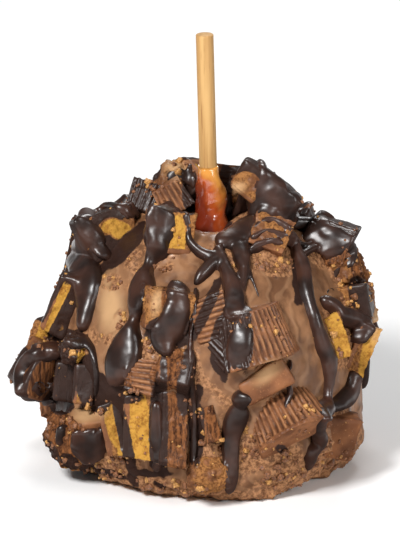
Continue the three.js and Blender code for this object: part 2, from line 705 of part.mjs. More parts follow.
// The floor as a cutter, which keeps the pieces just above it.
const FLOOR_SIZE = 400;
const FLOOR_DEPTH = 60;
const floor = new THREE.Mesh(new THREE.BoxGeometry(FLOOR_SIZE, FLOOR_SIZE, FLOOR_DEPTH));
floor.position.z = FLOOR_GAP - FLOOR_DEPTH / 2;
const underFloor = solidOf(floor);

// Each piece is cut clear of the stick, the caramel, the floor and the pieces already in place.
const pieces = [];
const pieceClearances = [];
const caramelClearance = clearanceOf(caramelCollar, caramelGeometry(0));
for (const piece of [...FRONT_PIECES, ...backPieces()]) {
  const mesh = toppingMesh(piece);
  apple.add(mesh.parent);
  const rim = plainOutline(CUP_RIM_RADIUS / Math.cos(Math.PI / CUP_PLAIN_SIDES));
  const pocket = piece.cup ? cupPiece(piece.cup, rim) : mesh.geometry;
  const clearance = clearanceOf(mesh, pocket);
  cutFrom(mesh, [underFloor, caramelClearance, ...pieceClearances]);
  pieces.push(mesh);
  pieceClearances.push(clearance);
}

// The coat takes the drizzle on, and has a pocket for each piece and a bore for the stick.
const bareCoat = new THREE.Mesh(coatGeometry());
let coatSolid = solidOf(bareCoat);
for (const stops of drizzleRoutes()) {
  coatSolid = coatSolid.add(strandSolid(stops, [...pieces, bareCoat]));
}
const bore = new THREE.Mesh(
  stickGeometry(STICK_DIAMETER / 2 + GAP, STICK_BOTTOM - GAP, STICK_TOP, STICK_EDGE),
);
stickFrame.add(bore);
for (const cutter of [solidOf(bore), caramelClearance, ...pieceClearances]) {
  coatSolid = coatSolid.subtract(cutter);
}
stickFrame.remove(bore);
const coat = new THREE.Mesh(geometryOf(coatSolid), milkChocolate);
coat.name = "coated_apple";
apple.add(coat);

export default apple;
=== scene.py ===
# %% [markdown]
# # A dipped apple with chopped cups and chocolate drizzle
# The object is an apple on a stick. It is dipped in milk chocolate, packed with chopped
# chocolate cups that have a peanut filling, and drizzled with dark chocolate.
# The solid model is loaded first and stays as it is. Each cup, lump, coat, stick and caramel
# that is made here takes the place of one of its nodes, and the drizzle and the crumbs lie on
# them. All of it shares one frame: metres, +Z up, the foot's middle at the origin.

import math

import bmesh
import bpy
import numpy as np
from mathutils import Matrix, Vector, noise
from mathutils.bvhtree import BVHTree


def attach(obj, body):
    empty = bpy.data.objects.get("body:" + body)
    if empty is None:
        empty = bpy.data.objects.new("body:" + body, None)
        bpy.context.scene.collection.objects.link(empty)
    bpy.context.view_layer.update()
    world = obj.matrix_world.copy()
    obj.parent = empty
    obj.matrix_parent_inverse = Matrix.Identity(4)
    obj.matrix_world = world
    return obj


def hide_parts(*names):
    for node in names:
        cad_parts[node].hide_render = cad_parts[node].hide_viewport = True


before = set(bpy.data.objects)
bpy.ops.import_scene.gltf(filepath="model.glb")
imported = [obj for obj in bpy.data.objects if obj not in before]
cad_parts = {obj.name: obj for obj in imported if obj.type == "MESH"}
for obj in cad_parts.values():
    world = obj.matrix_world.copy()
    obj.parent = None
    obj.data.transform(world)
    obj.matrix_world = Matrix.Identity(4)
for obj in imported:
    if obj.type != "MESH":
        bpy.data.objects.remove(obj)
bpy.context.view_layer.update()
scene = bpy.context.scene
print("the solid model has", len(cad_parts), "nodes")

# %% [markdown]
# ## Sizes
# The sizes are those of the solid model, in millimetres, because the layout is easier to read
# in them. Each finished mesh is scaled to metres once, at its end.

# %% Driving sizes
MM = 0.001
MIDDLE = Vector((0, 0, 40))
COAT_RADIUS = 55
SKIRT_RISE = 9
SKIRT_FROM = -8
SKIRT_TO = -38
FOOT_ROUND = 3
FOOT_FROM = -33
FOOT_TO = -43
HOLLOW_DEPTH = 9
HOLLOW_FROM = 64
HOLLOW_TO = 86
# Where the coat is thicker: azimuth, latitude, spread in degrees, rise.
COAT_SWELLS = [
    (36, -22, 22, 5),
    (78, -18, 20, 3),
    (-35, 8, 16, 3),
    (25, 20, 22, 3),
    (150, -20, 30, 3),
    (-140, 15, 28, 3),
]
CUP_RIM = 17
CUP_FOOT = 13.5
CUP_HEIGHT = 19
CUP_PLEATS = 44
PLEAT_DEPTH = 1.3
STICK_RADIUS = 6.35 / 2
STICK_TOP = 159
STICK_BOTTOM = 48
STICK_LEAN = 1.5
STICK_OFFSET = 3.6
FLOOR_GAP = 0.6
print("a whole cup is", 2 * CUP_RIM, "mm across and", CUP_HEIGHT, "mm high")

# %% [markdown]
# ## Places on the apple
# A place is an azimuth and a latitude round the apple's middle, as on a globe: azimuth 0 is the
# front and 90 the right. The bare coat is a ball with a skirt, a hollow for the stem and swells.

# %% The bare coat
def smoothstep(value, low, high):
    share = min(1, max(0, (value - low) / (high - low)))
    return share * share * (3 - 2 * share)


def direction(azimuth, latitude):
    level = math.cos(math.radians(latitude))
    azimuth = math.radians(azimuth)
    return Vector((level * math.sin(azimuth), -level * math.cos(azimuth), math.sin(math.radians(latitude))))


def angles_of(vector):
    azimuth = math.degrees(math.atan2(vector.x, -vector.y))
    return azimuth, math.degrees(math.asin(vector.z / vector.length))


def coat_reach(azimuth, latitude):
    """How far the bare coat reaches from the apple's middle."""
    reach = COAT_RADIUS + SKIRT_RISE * smoothstep(-latitude, -SKIRT_FROM, -SKIRT_TO)
    reach -= FOOT_ROUND * smoothstep(-latitude, -FOOT_FROM, -FOOT_TO)
    reach -= HOLLOW_DEPTH * smoothstep(latitude, HOLLOW_FROM, HOLLOW_TO)
    here = direction(azimuth, latitude)
    for swell_azimuth, swell_latitude, spread, rise in COAT_SWELLS:
        away = math.degrees(here.angle(direction(swell_azimuth, swell_latitude), 0))
        reach += rise * math.exp(-((away / spread) ** 2))
    return reach


def coat_point(azimuth, latitude):
    out = direction(azimuth, latitude)
    reach = coat_reach(azimuth, latitude)
    if out.z < 0:
        reach = min(reach, -MIDDLE.z / out.z)
    return MIDDLE + out * reach


print("in front the coat reaches", round(coat_reach(0, 0), 1), "mm from the middle")

# %% [markdown]
# The front is laid out on a flat sheet that faces a viewer who looks down by 18 degrees, in
# millimetres across from the stick and up from the foot, and pushed back onto the apple. That
# is how a decorator sees it, and a long list of angles would be hard to read.

# %% The layout sheet
SHEET_TILT = math.radians(18)
SHEET_RIGHT = Vector((1, 0, 0))
SHEET_UP = Vector((0, math.sin(SHEET_TILT), math.cos(SHEET_TILT)))
SHEET_OUT = Vector((0, -math.cos(SHEET_TILT), math.sin(SHEET_TILT)))
# A place is pushed back in a few steps, and a place off the coat is drawn in to its outline.
PUSH_STEPS = 4
OUTLINE_SHARE = 0.985
EYE_DISTANCE = 2000
EYE_ACROSS = -2.2
EYE_UP = 68.2


def sheet_place(across, up, lift):
    """The azimuth and latitude at which a place on the sheet meets a shell above the coat."""
    off_up = up - MIDDLE.z * math.cos(SHEET_TILT)
    reach = COAT_RADIUS + lift
    for _ in range(PUSH_STEPS):
        aside = across * across + off_up * off_up
        shrink = min(1, OUTLINE_SHARE * reach / math.sqrt(aside))
        toward = math.sqrt(reach * reach - aside * shrink * shrink)
        vector = SHEET_RIGHT * (across * shrink) + SHEET_UP * (off_up * shrink) + SHEET_OUT * toward
        azimuth, latitude = angles_of(vector)
        reach = coat_reach(azimuth, latitude) + lift
    return azimuth, latitude


def sheet_point(across, up):
    """A place on the sheet as a point, with the sheet standing through the apple's middle."""
    return SHEET_RIGHT * across + SHEET_UP * up + SHEET_OUT * MIDDLE.dot(SHEET_OUT)


EYE_AIM = sheet_point(EYE_ACROSS, EYE_UP)
EYE = EYE_AIM + SHEET_OUT * EYE_DISTANCE
print("the eye stands at", [round(c) for c in EYE], "mm")

# %% [markdown]
# ## Meshes
# A few helpers turn a bmesh into an object and an object into arrays of numbers. Chocolate has
# no sharp edges, so a rough shape is rebuilt as a skin of small even squares (a voxel remesh)
# and smoothed: that rounds every edge and melts touching shapes into one.

# %% From rough shapes to skins
SMOOTHING = 0.5


def object_from(name, bm):
    mesh = bpy.data.meshes.new(name)
    bm.to_mesh(mesh)
    bm.free()
    made = bpy.data.objects.new(name, mesh)
    scene.collection.objects.link(made)
    return made


def with_modifiers(made):
    """The object with its modifiers applied to its own mesh."""
    shown = made.evaluated_get(bpy.context.evaluated_depsgraph_get())
    mesh = bpy.data.meshes.new_from_object(shown)
    old = made.data
    made.modifiers.clear()
    made.data = mesh
    bpy.data.meshes.remove(old)
    return made


def melted(made, square, rounds):
    """Rebuilds a rough closed shape as one smooth skin of squares of this size."""
    skin = made.modifiers.new("skin", "REMESH")
    skin.mode = "VOXEL"
    skin.voxel_size = square
    ease = made.modifiers.new("ease", "SMOOTH")
    ease.iterations = rounds
    ease.factor = SMOOTHING
    return with_modifiers(made)


def without_scraps(made, fewest=100):
    """Drops the loose specks that a thin edge can leave, of fewer points than this."""
    bm = bmesh.new()
    bm.from_mesh(made.data)
    met, scraps = set(), []
    for first in bm.verts:
        if first in met:
            continue
        met.add(first)
        lump = [first]
        for vert in lump:
            beside = [e.other_vert(vert) for e in vert.link_edges]
            beside = [other for other in beside if other not in met]
            met.update(beside)
            lump.extend(beside)
        if len(lump) < fewest:
            scraps.extend(lump)
    bmesh.ops.delete(bm, geom=scraps, context="VERTS")
    bm.to_mesh(made.data)
    bm.free()
    return made

# %% [markdown]
# Fine relief is random but smooth: a grain is a field of numbers whose lumps have a size, and
# coarse and fine grains are added up. Marks are numbers that a mesh stores for each point, by
# which a material knows where a piece is dark, golden or rough.

# %% Points, marks and grain
GRAIN_TURN = 0.7
GRAIN_LAYER = 5


def points_of(made):
    points = np.empty(len(made.data.vertices) * 3)
    made.data.vertices.foreach_get("co", points)
    return points.reshape(-1, 3)


def normals_of(made):
    normals = np.empty(len(made.data.vertices) * 3)
    made.data.vertices.foreach_get("normal", normals)
    return normals.reshape(-1, 3)


def set_points(made, points):
    made.data.vertices.foreach_set("co", points.ravel())
    made.data.update()


def set_marks(made, name, values):
    """Stores one number a vertex under a name that a material can read."""
    mark = made.data.attributes.new(name, "FLOAT", "POINT")
    mark.data.foreach_set("value", np.asarray(values, np.float32))


def grain(points, size, seed):
    """Smooth random numbers from -1 to 1 that change over this many millimetres."""
    shift = Vector((seed, seed * GRAIN_TURN, GRAIN_LAYER))
    return np.array([noise.noise(Vector(p) / size + shift) for p in points])


def grains(points, layers):
    """Several grains added up, each with its size, seed and height."""
    return sum(grain(points, size, seed) * height for size, seed, height in layers)


def roughened(made, relief):
    """Moves each point out by its relief and keeps it off the floor. Returns the new points."""
    points = points_of(made) + normals_of(made) * relief[:, None]
    points[:, 2] = np.maximum(points[:, 2], FLOOR_GAP)
    set_points(made, points)
    return points

# %% [markdown]
# ## Finishes
# A finish is a material made of nodes. Its sums are written as Python expressions: a Channel
# stands for a node's output, and each sign in an expression adds one Math node.

# %% Sums in a material
class Channel:
    """A node's output that Python's arithmetic works on."""

    def __init__(self, finish, socket):
        self.finish = finish
        self.socket = socket

    def sum(self, kind, first, second):
        return self.finish.node("ShaderNodeMath", {"operation": kind}, {0: first, 1: second})

    def __add__(self, other):
        return self.sum("ADD", self, other)

    def __sub__(self, other):
        return self.sum("SUBTRACT", self, other)

    def __rsub__(self, other):
        return self.sum("SUBTRACT", other, self)

    def __mul__(self, other):
        return self.sum("MULTIPLY", self, other)

    __radd__ = __add__
    __rmul__ = __mul__

# %% [markdown]
# Patterns read the Object coordinates, turned to millimetres, so a grain is as large as its
# number says. Any node comes from one method, and colours are blended by Mix nodes, as a Math
# node would turn them grey. Chocolate shines least where it faces down, so its shine fades there.

# %% A way to write materials
def tint(red, green, blue):
    """A colour as painters' programs give it, 0 to 255, turned to the light that Blender adds up."""
    shares = [value / 255 for value in (red, green, blue)]
    return [s / 12.92 if s < 0.04045 else ((s + 0.055) / 1.055) ** 2.4 for s in shares] + [1]


class Finish:
    """A material and its nodes."""

    def __init__(self, name, **constants):
        self.material = bpy.data.materials.new(name)
        self.material.use_nodes = True
        self.tree = self.material.node_tree
        self.shader = self.tree.nodes["Principled BSDF"]
        for socket, value in constants.items():
            self.shader.inputs[socket.replace("_", " ")].default_value = value
        spot = self.node("ShaderNodeTexCoord", output="Object")
        inputs = {"Vector": spot, "Scale": 1 / MM}
        self.place = self.node("ShaderNodeVectorMath", {"operation": "SCALE"}, inputs)

    def node(self, kind, settings=None, inputs=None, output=0):
        made = self.tree.nodes.new(kind)
        for key, value in (settings or {}).items():
            setattr(made, key, value)
        for key, value in (inputs or {}).items():
            if isinstance(value, Channel):
                self.tree.links.new(value.socket, made.inputs[key])
            else:
                made.inputs[key].default_value = value
        return Channel(self, made.outputs[output])

    def noise(self, size, detail=2.0, rough=0.5, stretch=None):
        """Clouds from 0 to 1 whose lumps are about this many millimetres across."""
        place = self.place
        if stretch:
            place = self.node("ShaderNodeVectorMath", {"operation": "MULTIPLY"}, {0: place, 1: stretch})
        inputs = {"Vector": place, "Scale": 1 / size, "Detail": detail, "Roughness": rough}
        return self.node("ShaderNodeTexNoise", inputs=inputs)

    def mark(self, name):
        """The number that the mesh stores under a name."""
        return self.node("ShaderNodeAttribute", {"attribute_name": name}, output="Fac")

    def step(self, value, low, high):
        """0 below low and 1 above high, with a soft passage between."""
        inputs = {0: value, 1: low, 2: high}
        return self.node("ShaderNodeMapRange", {"interpolation_type": "SMOOTHSTEP"}, inputs)

    def mix(self, share, first, second):
        """A blend of two colours."""
        return self.node("ShaderNodeMix", {"data_type": "RGBA"}, {0: share, 6: first, 7: second}, output=2)

    def fade(self, value, low, high, first, second):
        """The first colour where the value is below low and the second where it is above high."""
        return self.mix(self.step(value, low, high), first, second)

    def with_highlight_and_pale_tone(self, colour, clouds):
        """The colour, paler where the mesh is marked so: a painted highlight where light falls strongest, and
        a paler tone on some faces.
        """
        pale = self.mark("pale") + clouds * 0.6 - 0.3
        return self.fade(pale, 0.1, 1.1, colour, tint(190, 150, 108))

    def facing_up(self):
        """1 where the surface faces up or level, and 0 where it faces down."""
        normal = self.node("ShaderNodeNewGeometry", output="Normal")
        upward = self.node("ShaderNodeSeparateXYZ", inputs={"Vector": normal}, output="Z")
        return self.step(upward, -0.2, 0.3)

    def facing_down(self):
        return 1 - self.facing_up()

    def set(self, colour, roughness, height, depth, coat=None):
        """Links what changes over the surface. depth is how many millimetres the relief stands."""
        inputs = {"Height": height, "Distance": depth * MM, "Strength": 1.0}
        relief = self.node("ShaderNodeBump", inputs=inputs)
        ends = {"Base Color": colour, "Roughness": roughness, "Normal": relief, "Coat Weight": coat}
        for socket, value in ends.items():
            if value is not None:
                self.tree.links.new(value.socket, self.shader.inputs[socket])
        print("finish:", self.material.name, "with", len(self.tree.nodes), "nodes")
        return self.material

# %% [markdown]
# Milk chocolate that has run over the apple is smooth and has a soft shine. Where crumbs of the
# cups stuck to it, it is rough, and small golden specks of peanut show. A mark on the mesh says
# where that is, so the relief of the mesh and the colour agree.

# %% Milk chocolate coat
def milk_coat():
    finish = Finish("milk chocolate coat", IOR=1.35, Coat_Roughness=0.24, Specular_IOR_Level=0.25)
    rough = finish.mark("rough")
    clouds = finish.noise(9, 3)
    colour = finish.fade(clouds, 0.35, 0.65, tint(142, 101, 70), tint(104, 70, 47))
    wave = {"Vector": finish.place, "Scale": 0.04, "Distortion": 12, "Detail Scale": 1.6}
    swirls = finish.node("ShaderNodeTexWave", inputs=wave, output=1)
    # The crests of the swirls are painted lighter: a painted highlight along them.
    colour = finish.mix(finish.step(swirls, 0.6, 1.0) * 0.22, colour, tint(182, 140, 104))
    crumbs = finish.noise(1.5, 4, 0.7)
    broken = finish.fade(crumbs, 0.36, 0.62, tint(100, 65, 42), tint(172, 124, 86))
    broken = finish.fade(finish.noise(1.1, 1), 0.74, 0.79, broken, tint(190, 142, 90))
    # Painted highlight on the coat where the pale mark lies.
    colour = finish.with_highlight_and_pale_tone(colour, clouds)
    colour = finish.fade(rough + crumbs * 0.5, 0.55, 0.85, colour, broken)
    # Where marked dark the coat takes the dark chocolate colour: chocolate that ran into gaps, and painted
    # shade.
    dark = finish.step(finish.mark("dark") + crumbs * 0.5 - 0.25, 0.4, 0.6)
    colour = finish.mix(dark, colour, finish.mix(clouds, tint(54, 33, 25), tint(40, 26, 21)))
    roughness = 0.34 + rough * 0.2 + crumbs * 0.12 + dark * 0.1 + finish.facing_down() * 0.25
    height = finish.noise(5, 2) * 0.5 + swirls * 0.7 + crumbs * (0.12 + rough * 0.9)
    coat = (0.5 - rough * 0.46 - dark * 0.3) * finish.facing_up()
    return finish.set(colour, roughness, height, 0.5, coat)


MILK = milk_coat()

# %% [markdown]
# A chopped cup shows two things: its own milk chocolate and, where the knife went through, the
# peanut filling, which is dry and sandy. Marks on the mesh say how deep in the filling a point
# lies, where a pleat's groove runs, which gets painted shade, and where its ridge runs, which
# gets a painted highlight. Others say where the piece is dark, from dark chocolate that covers
# it and from painted shade, and where the filling is clean and golden.

# %% Chopped cup
def cup_finish():
    finish = Finish("chopped cup", IOR=1.35, Coat_Roughness=0.32, Specular_IOR_Level=0.25)
    fine = finish.noise(0.9, 4, 0.65)
    middling = finish.noise(2.6, 3, 0.6)
    clouds = finish.noise(7, 2)
    deep = finish.mark("filling") + middling * 1.6 - 0.8 + fine * 0.8 - 0.4
    golden = finish.step(finish.mark("golden") + fine * 0.5 - 0.25, 0.35, 0.65)
    smeared = finish.step(clouds + fine * 0.2 - golden * 0.5, 0.58, 0.7)
    filled = finish.step(deep, -0.15, 0.3) * (1 - smeared * 0.85)
    dark = finish.step(finish.mark("dark") + fine * 0.5 - 0.25 + middling * 0.4 - 0.2, 0.4, 0.6)
    shell = finish.fade(clouds, 0.3, 0.7, tint(138, 90, 58), tint(98, 60, 38))
    shell = finish.fade(fine, 0.58, 0.78, shell, tint(170, 120, 82))
    crisp = finish.step(finish.noise(4.5, 3, 0.6), 0.38, 0.6)
    # Pleat ridges are painted lighter, a painted highlight, and pleat grooves darker, painted shade.
    shell = finish.mix(finish.mark("ridge") * (0.1 + crisp * 0.5), shell, tint(176, 126, 86))
    shell = finish.mix(finish.mark("groove_shade") * (0.45 + crisp * 0.6), shell, tint(56, 33, 21))
    sandy = finish.fade(fine, 0.3, 0.62, tint(92, 54, 29), tint(158, 108, 62))
    mottles = finish.noise(3.4, 4, 0.62) * 0.6 + fine * 0.4
    gold = finish.fade(mottles, 0.32, 0.56, tint(130, 82, 32), tint(184, 136, 58))
    colour = finish.mix(filled, shell, finish.mix(golden, sandy, gold))
    # Painted highlight, and a paler tone, where the pale mark lies.
    colour = finish.with_highlight_and_pale_tone(colour, clouds)
    streaks = finish.noise(1.3, 4, 0.7, stretch=(1, 1, 0.12))
    fibrous = finish.step(finish.mark("fibrous") + fine * 0.4 - 0.2, 0.35, 0.65)
    brown = finish.fade(streaks, 0.35, 0.65, tint(54, 30, 19), tint(134, 84, 48))
    colour = finish.mix(fibrous, colour, brown)
    # Where marked dark the piece takes the dark chocolate colour: dark chocolate cover, and painted shade in
    # gaps and hollows.
    colour = finish.mix(dark, colour, finish.mix(clouds, tint(56, 34, 25), tint(40, 26, 21)))
    roughness = 0.42 + filled * 0.35 + fine * 0.1 - dark * 0.14 + finish.facing_down() * 0.45
    height = fine * (0.14 + filled * (0.6 - golden * 0.35)) + middling * (0.25 + filled * 0.5)
    height = height + streaks * fibrous * 1.2
    coat = ((0.15 - filled * 0.15) * (1 - dark) + dark * 0.4) * finish.facing_up()
    return finish.set(colour, roughness, height, 0.55, coat)


CUP = cup_finish()

# %% [markdown]
# Dark chocolate sets with the strongest shine. It is nearly black in its depths, and a little
# warmer where it is thin. Its surface is not a mirror: faint ripples break the reflection.

# %% Dark chocolate drizzle
def dark_drizzle():
    finish = Finish("dark chocolate drizzle", IOR=1.35, Coat_Roughness=0.33, Specular_IOR_Level=0.3)
    clouds = finish.noise(11, 2)
    fine = finish.noise(1.6, 3)
    colour = finish.fade(clouds, 0.35, 0.65, tint(34, 20, 15), tint(62, 37, 27))
    roughness = 0.16 + finish.noise(5, 3) * 0.3 + fine * 0.05 + finish.facing_down() * 0.4
    height = finish.noise(4, 2) * 0.6 + fine * 0.16
    coat = (0.55 + clouds * 0.45) * finish.facing_up()
    return finish.set(colour, roughness, height, 0.35, coat)


DARK = dark_drizzle()

# %% [markdown]
# Crumbs are broken cup: most are milk chocolate, some are peanut. A mark picks the kind.

# %% Crumb finish
def crumb_finish():
    finish = Finish("crumbs", Specular_IOR_Level=0.45)
    fine = finish.noise(0.6, 3, 0.6)
    brown = finish.fade(fine, 0.35, 0.65, tint(92, 55, 33), tint(146, 96, 60))
    gold = finish.fade(fine, 0.35, 0.65, tint(150, 100, 48), tint(206, 154, 88))
    colour = finish.fade(finish.mark("kind"), 0.45, 0.55, brown, gold)
    return finish.set(colour, 0.4 + fine * 0.3, fine, 0.2)


CRUMB = crumb_finish()

# %% [markdown]
# The caramel is clear and wet. It is deep red-brown where it is thick, in the pool and down the
# left of the stick, and lets the pale wood through where it is a thin film on the right.

# %% Caramel finish
def caramel_finish():
    finish = Finish("caramel", Coat_Weight=1.0, Coat_Roughness=0.04, Specular_IOR_Level=0.6)
    clouds = finish.noise(5, 2)
    thick = finish.mark("thick") + clouds * 0.5 - 0.25
    film = finish.fade(thick, 0.05, 0.45, tint(214, 146, 66), tint(172, 74, 28))
    colour = finish.fade(thick, 0.4, 0.8, film, tint(112, 38, 18))
    return finish.set(colour, 0.12 + clouds * 0.08, finish.noise(2.5, 2), 0.25)


CARAMEL = caramel_finish()

# %% [markdown]
# The stick is a plain birch dowel: pale, with fine darker fibres that run along it.

# %% Birch stick
def birch_finish():
    finish = Finish("birch", Specular_IOR_Level=0.35)
    fibres = finish.noise(0.7, 4, 0.6, stretch=(1, 1, 0.04))
    rings = finish.noise(2.6, 2, 0.5, stretch=(1, 1, 0.05))
    colour = finish.fade(rings, 0.35, 0.65, tint(199, 158, 101), tint(176, 133, 79))
    colour = finish.fade(fibres, 0.56, 0.72, colour, tint(150, 105, 58))
    return finish.set(colour, 0.5 + fibres * 0.2, fibres, 0.08)


BIRCH = birch_finish()

# %% [markdown]
# ## The chopped cups
# A whole cup is a cone with a pleated side, wide at its rim. It is made from a cone with a few
# points to each pleat, whose grooves are pushed in and fade out below the rim.

# %% Whole cup
RIM_EDGE = 1.4
PLEAT_POINTS = 4
RING_HEIGHTS = 8


def cup_radius(height):
    return CUP_FOOT + (CUP_RIM - CUP_FOOT) * height / CUP_HEIGHT


def climb_of(edge):
    return abs(edge.verts[0].co.z - edge.verts[1].co.z)


def whole_cup():
    """The cup with its pleats. Its axis is Z and its foot is at height 0."""
    bm = bmesh.new()
    bmesh.ops.create_cone(
        bm,
        cap_ends=True,
        segments=CUP_PLEATS * PLEAT_POINTS,
        radius1=CUP_FOOT,
        radius2=CUP_RIM,
        depth=CUP_HEIGHT,
    )
    bmesh.ops.translate(bm, verts=bm.verts, vec=(0, 0, CUP_HEIGHT / 2))
    upright = [e for e in bm.edges if climb_of(e) > 1]
    bmesh.ops.subdivide_edges(bm, edges=upright, cuts=RING_HEIGHTS)
    for vert in bm.verts:
        angle = math.atan2(vert.co.y, vert.co.x)
        wave = abs(math.cos(angle * CUP_PLEATS / 2))
        near_rim = smoothstep(vert.co.z, CUP_HEIGHT - RIM_EDGE, CUP_HEIGHT - RIM_EDGE / 2)
        dent = PLEAT_DEPTH * (1 - wave) * (1 - near_rim)
        vert.co.x -= dent * math.cos(angle)
        vert.co.y -= dent * math.sin(angle)
    return bm

# %% [markdown]
# Each piece is the cup between two cuts each way, and some have lost their top as well. It is
# made as a cook makes it: the whole cup first, then cut by planes, each of which is closed.

# %% Cutting a cup
WHOLE = {"x": (-CUP_RIM, CUP_RIM), "y": (-CUP_RIM, CUP_RIM), "height": CUP_HEIGHT}
TOUCHING = 1e-5


def cut(bm, point, normal):
    """Cuts away what lies beyond a plane and closes the cut."""
    everything = bm.verts[:] + bm.edges[:] + bm.faces[:]
    plane = {"plane_co": point, "plane_no": normal, "dist": TOUCHING}
    result = bmesh.ops.bisect_plane(bm, geom=everything, clear_outer=True, **plane)
    edges = [g for g in result["geom_cut"] if isinstance(g, bmesh.types.BMEdge)]
    if edges:
        bmesh.ops.edgeloop_fill(bm, edges=edges)


def chopped(left):
    """What is left of the cup, about the middle of its box, and how far the middle was moved."""
    bm = whole_cup()
    left = {**WHOLE, **left}
    foot = CUP_FOOT / CUP_RIM
    for axis, name in ((Vector((1, 0, 0)), "x"), (Vector((0, 1, 0)), "y")):
        for sign, limit in ((-1, left[name][0]), (1, left[name][1])):
            if abs(limit) >= CUP_RIM:
                continue
            # The cut leans with the cup's side, as the cup was softened a little by the knife.
            lean = Vector((0, 0, -limit * (1 - foot) / CUP_HEIGHT))
            cut(bm, axis * (limit * foot), axis * sign + lean * sign)
    if left["height"] < CUP_HEIGHT:
        cut(bm, Vector((0, 0, left["height"])), Vector((0, 0, 1)))
    low = Vector([min(v.co[i] for v in bm.verts) for i in range(3)])
    high = Vector([max(v.co[i] for v in bm.verts) for i in range(3)])
    middle = (low + high) / 2
    bmesh.ops.translate(bm, verts=bm.verts, vec=-middle)
    return bm, middle


test, _ = chopped({"x": (0, CUP_RIM)})
print("half a cup has", len(test.faces), "faces before its skin is rebuilt")
test.free()

# %% [markdown]
# These are the shapes that the knife leaves. x and y say between which cuts a piece lies, in
# millimetres from the cup's axis at its rim, and height says where its top was cut off.

# %% What is left of a cup
MOST = {"x": (-5, CUP_RIM), "y": (-CUP_RIM, 13)}
HALF = {"x": (0, CUP_RIM)}
SHORT_HALF = {"x": (0, 15), "y": (-12, 11), "height": 17}
NARROW_HALF = {"x": (0, CUP_RIM), "y": (-14, 14)}
LOW_HALF = {"x": (0, 15), "y": (-15, 14), "height": 12.5}
THIRD = {"x": (5, CUP_RIM)}
WEDGE = {"x": (0, CUP_RIM), "y": (-CUP_RIM, 3)}
BLOCK = {"x": (0, 12), "y": (-10, 9), "height": 15}
SHORT_BLOCK = {"x": (0, 12), "y": (-8, 8), "height": 13}
LONG_BLOCK = {"x": (-5, 5), "y": (-6, 5)}
THICK_BLOCK = {"x": (-4, 8), "y": (-9, 9), "height": 16}
SLAB = {"x": (-5, 4)}
BAND = {"x": (0, 10), "y": (-14, 13), "height": 13.5}
NARROW_BAND = {"x": (0, 9), "y": (-14, 13), "height": 10}
THIN_BAND = {"x": (0, 8), "y": (-12, 11), "height": 8}
SHORT_BAND = {"x": (0, 8), "y": (-10, 9), "height": 8}
PLANK = {"x": (-4, 5), "height": 10}
SHORT_PLANK = {"x": (-3, 4), "y": (-9, 9), "height": 8}
SLIVER = {"x": (-3, 4), "y": (-8, 8), "height": 6}
CHIP = {"x": (7, CUP_RIM), "y": (-10, 10), "height": 13}
SMALL_CHIP = {"x": (9, CUP_RIM), "y": (-7, 7), "height": 11}

# %% [markdown]
# In front each piece has its place on the sheet, and lift says how far it stands off the coat.
# Its turn is the way the cup's rim points, clockwise from up. Pitch tips the rim towards the
# viewer, and out is the side that is seen: 0 for the pleats, 180 for the cut face.

# %% Pieces on the front
# name, across, up, lift, cup, turn, pitch, out
FRONT_CUPS = [
    ("crown_pleats_left", -12.5, 94.5, 10, SMALL_CHIP, 150, -10, 0),
    ("crown_dark_left", -22, 93, 7, SMALL_CHIP, 20, -20, 0),
    ("crown_large_right", 21.5, 95.5, 12, LOW_HALF, 38, 12, 180),
    ("shoulder_large_left", -36, 80, 3, SHORT_HALF, -20, 5, 165),
    ("shoulder_blob_left", -13, 80.5, 3, BLOCK, 5, 0, 175),
    ("shoulder_striped", 22.5, 79, 2, SHORT_BLOCK, 20, -20, 180),
    ("shoulder_dark_right", 45, 77, 3, SHORT_HALF, 115, 5, -10),
    ("side_hollow_right", 60, 56, 3, BLOCK, -10, 0, 100),
    ("side_gold_right", 55.5, 38, 3, THIN_BAND, 112, -10, 180),
    ("side_band_right", 46, 43, 1, SHORT_BAND, 71, -10, 180),
    ("low_mass_right", 46, 8, -2, THICK_BLOCK, 10, 15, 170),
    ("middle_large", 21, 45, 1, HALF, 165, -5, 50),
    ("middle_lobe", 21, 27.5, 0, LONG_BLOCK, 60, 0, 0),
    ("middle_dark_ridges", 5.5, 39, 0, SMALL_CHIP, 130, 5, -30),
    ("low_pleats_right", 27.5, 16.5, 1, NARROW_HALF, 152, 20, 5),
    ("middle_ridged", 2, 50, 1, CHIP, 75, 10, 15),
    ("left_chunk", -14, 53, 1, BLOCK, 10, 5, 170),
    ("left_red_mass", -11, 32, 0, SHORT_BLOCK, 100, 5, 20),
    ("left_ridged", -23, 29.5, 2, SMALL_CHIP, 100, 5, 10),
    ("low_gold_thin", -33, 10.5, 1, THIN_BAND, 77, 0, 180),
    ("low_gold_large", -22, 12, 2, BAND, 92, 5, 175),
    ("low_rough_slab", -11.5, 11.5, 1, PLANK, 92, 0, 180),
    ("low_tan_middle", 1.5, 12.5, 1, SLIVER, 75, 0, 180),
    ("low_dome_left", -41, 10.5, 1, SHORT_BLOCK, -8, 35, 0),
    ("far_left_lobe", -57.5, 30, 5, WEDGE, -150, -10, 30),
    ("left_long_slab", -51, 55, 3, NARROW_BAND, 112, 0, 160),
    ("left_plank_outer", -50.5, 27.5, 2, SHORT_PLANK, 95, 0, 170),
    ("left_plank_inner", -43.5, 26.5, 1, SHORT_PLANK, 95, 0, 180),
]
# These are covered by milk chocolate all over, and these lie rounded under dark chocolate.
COATED = ("middle_lobe", "low_mass_right", "low_dome_left")
ROUNDED = ("left_red_mass", "side_hollow_right")
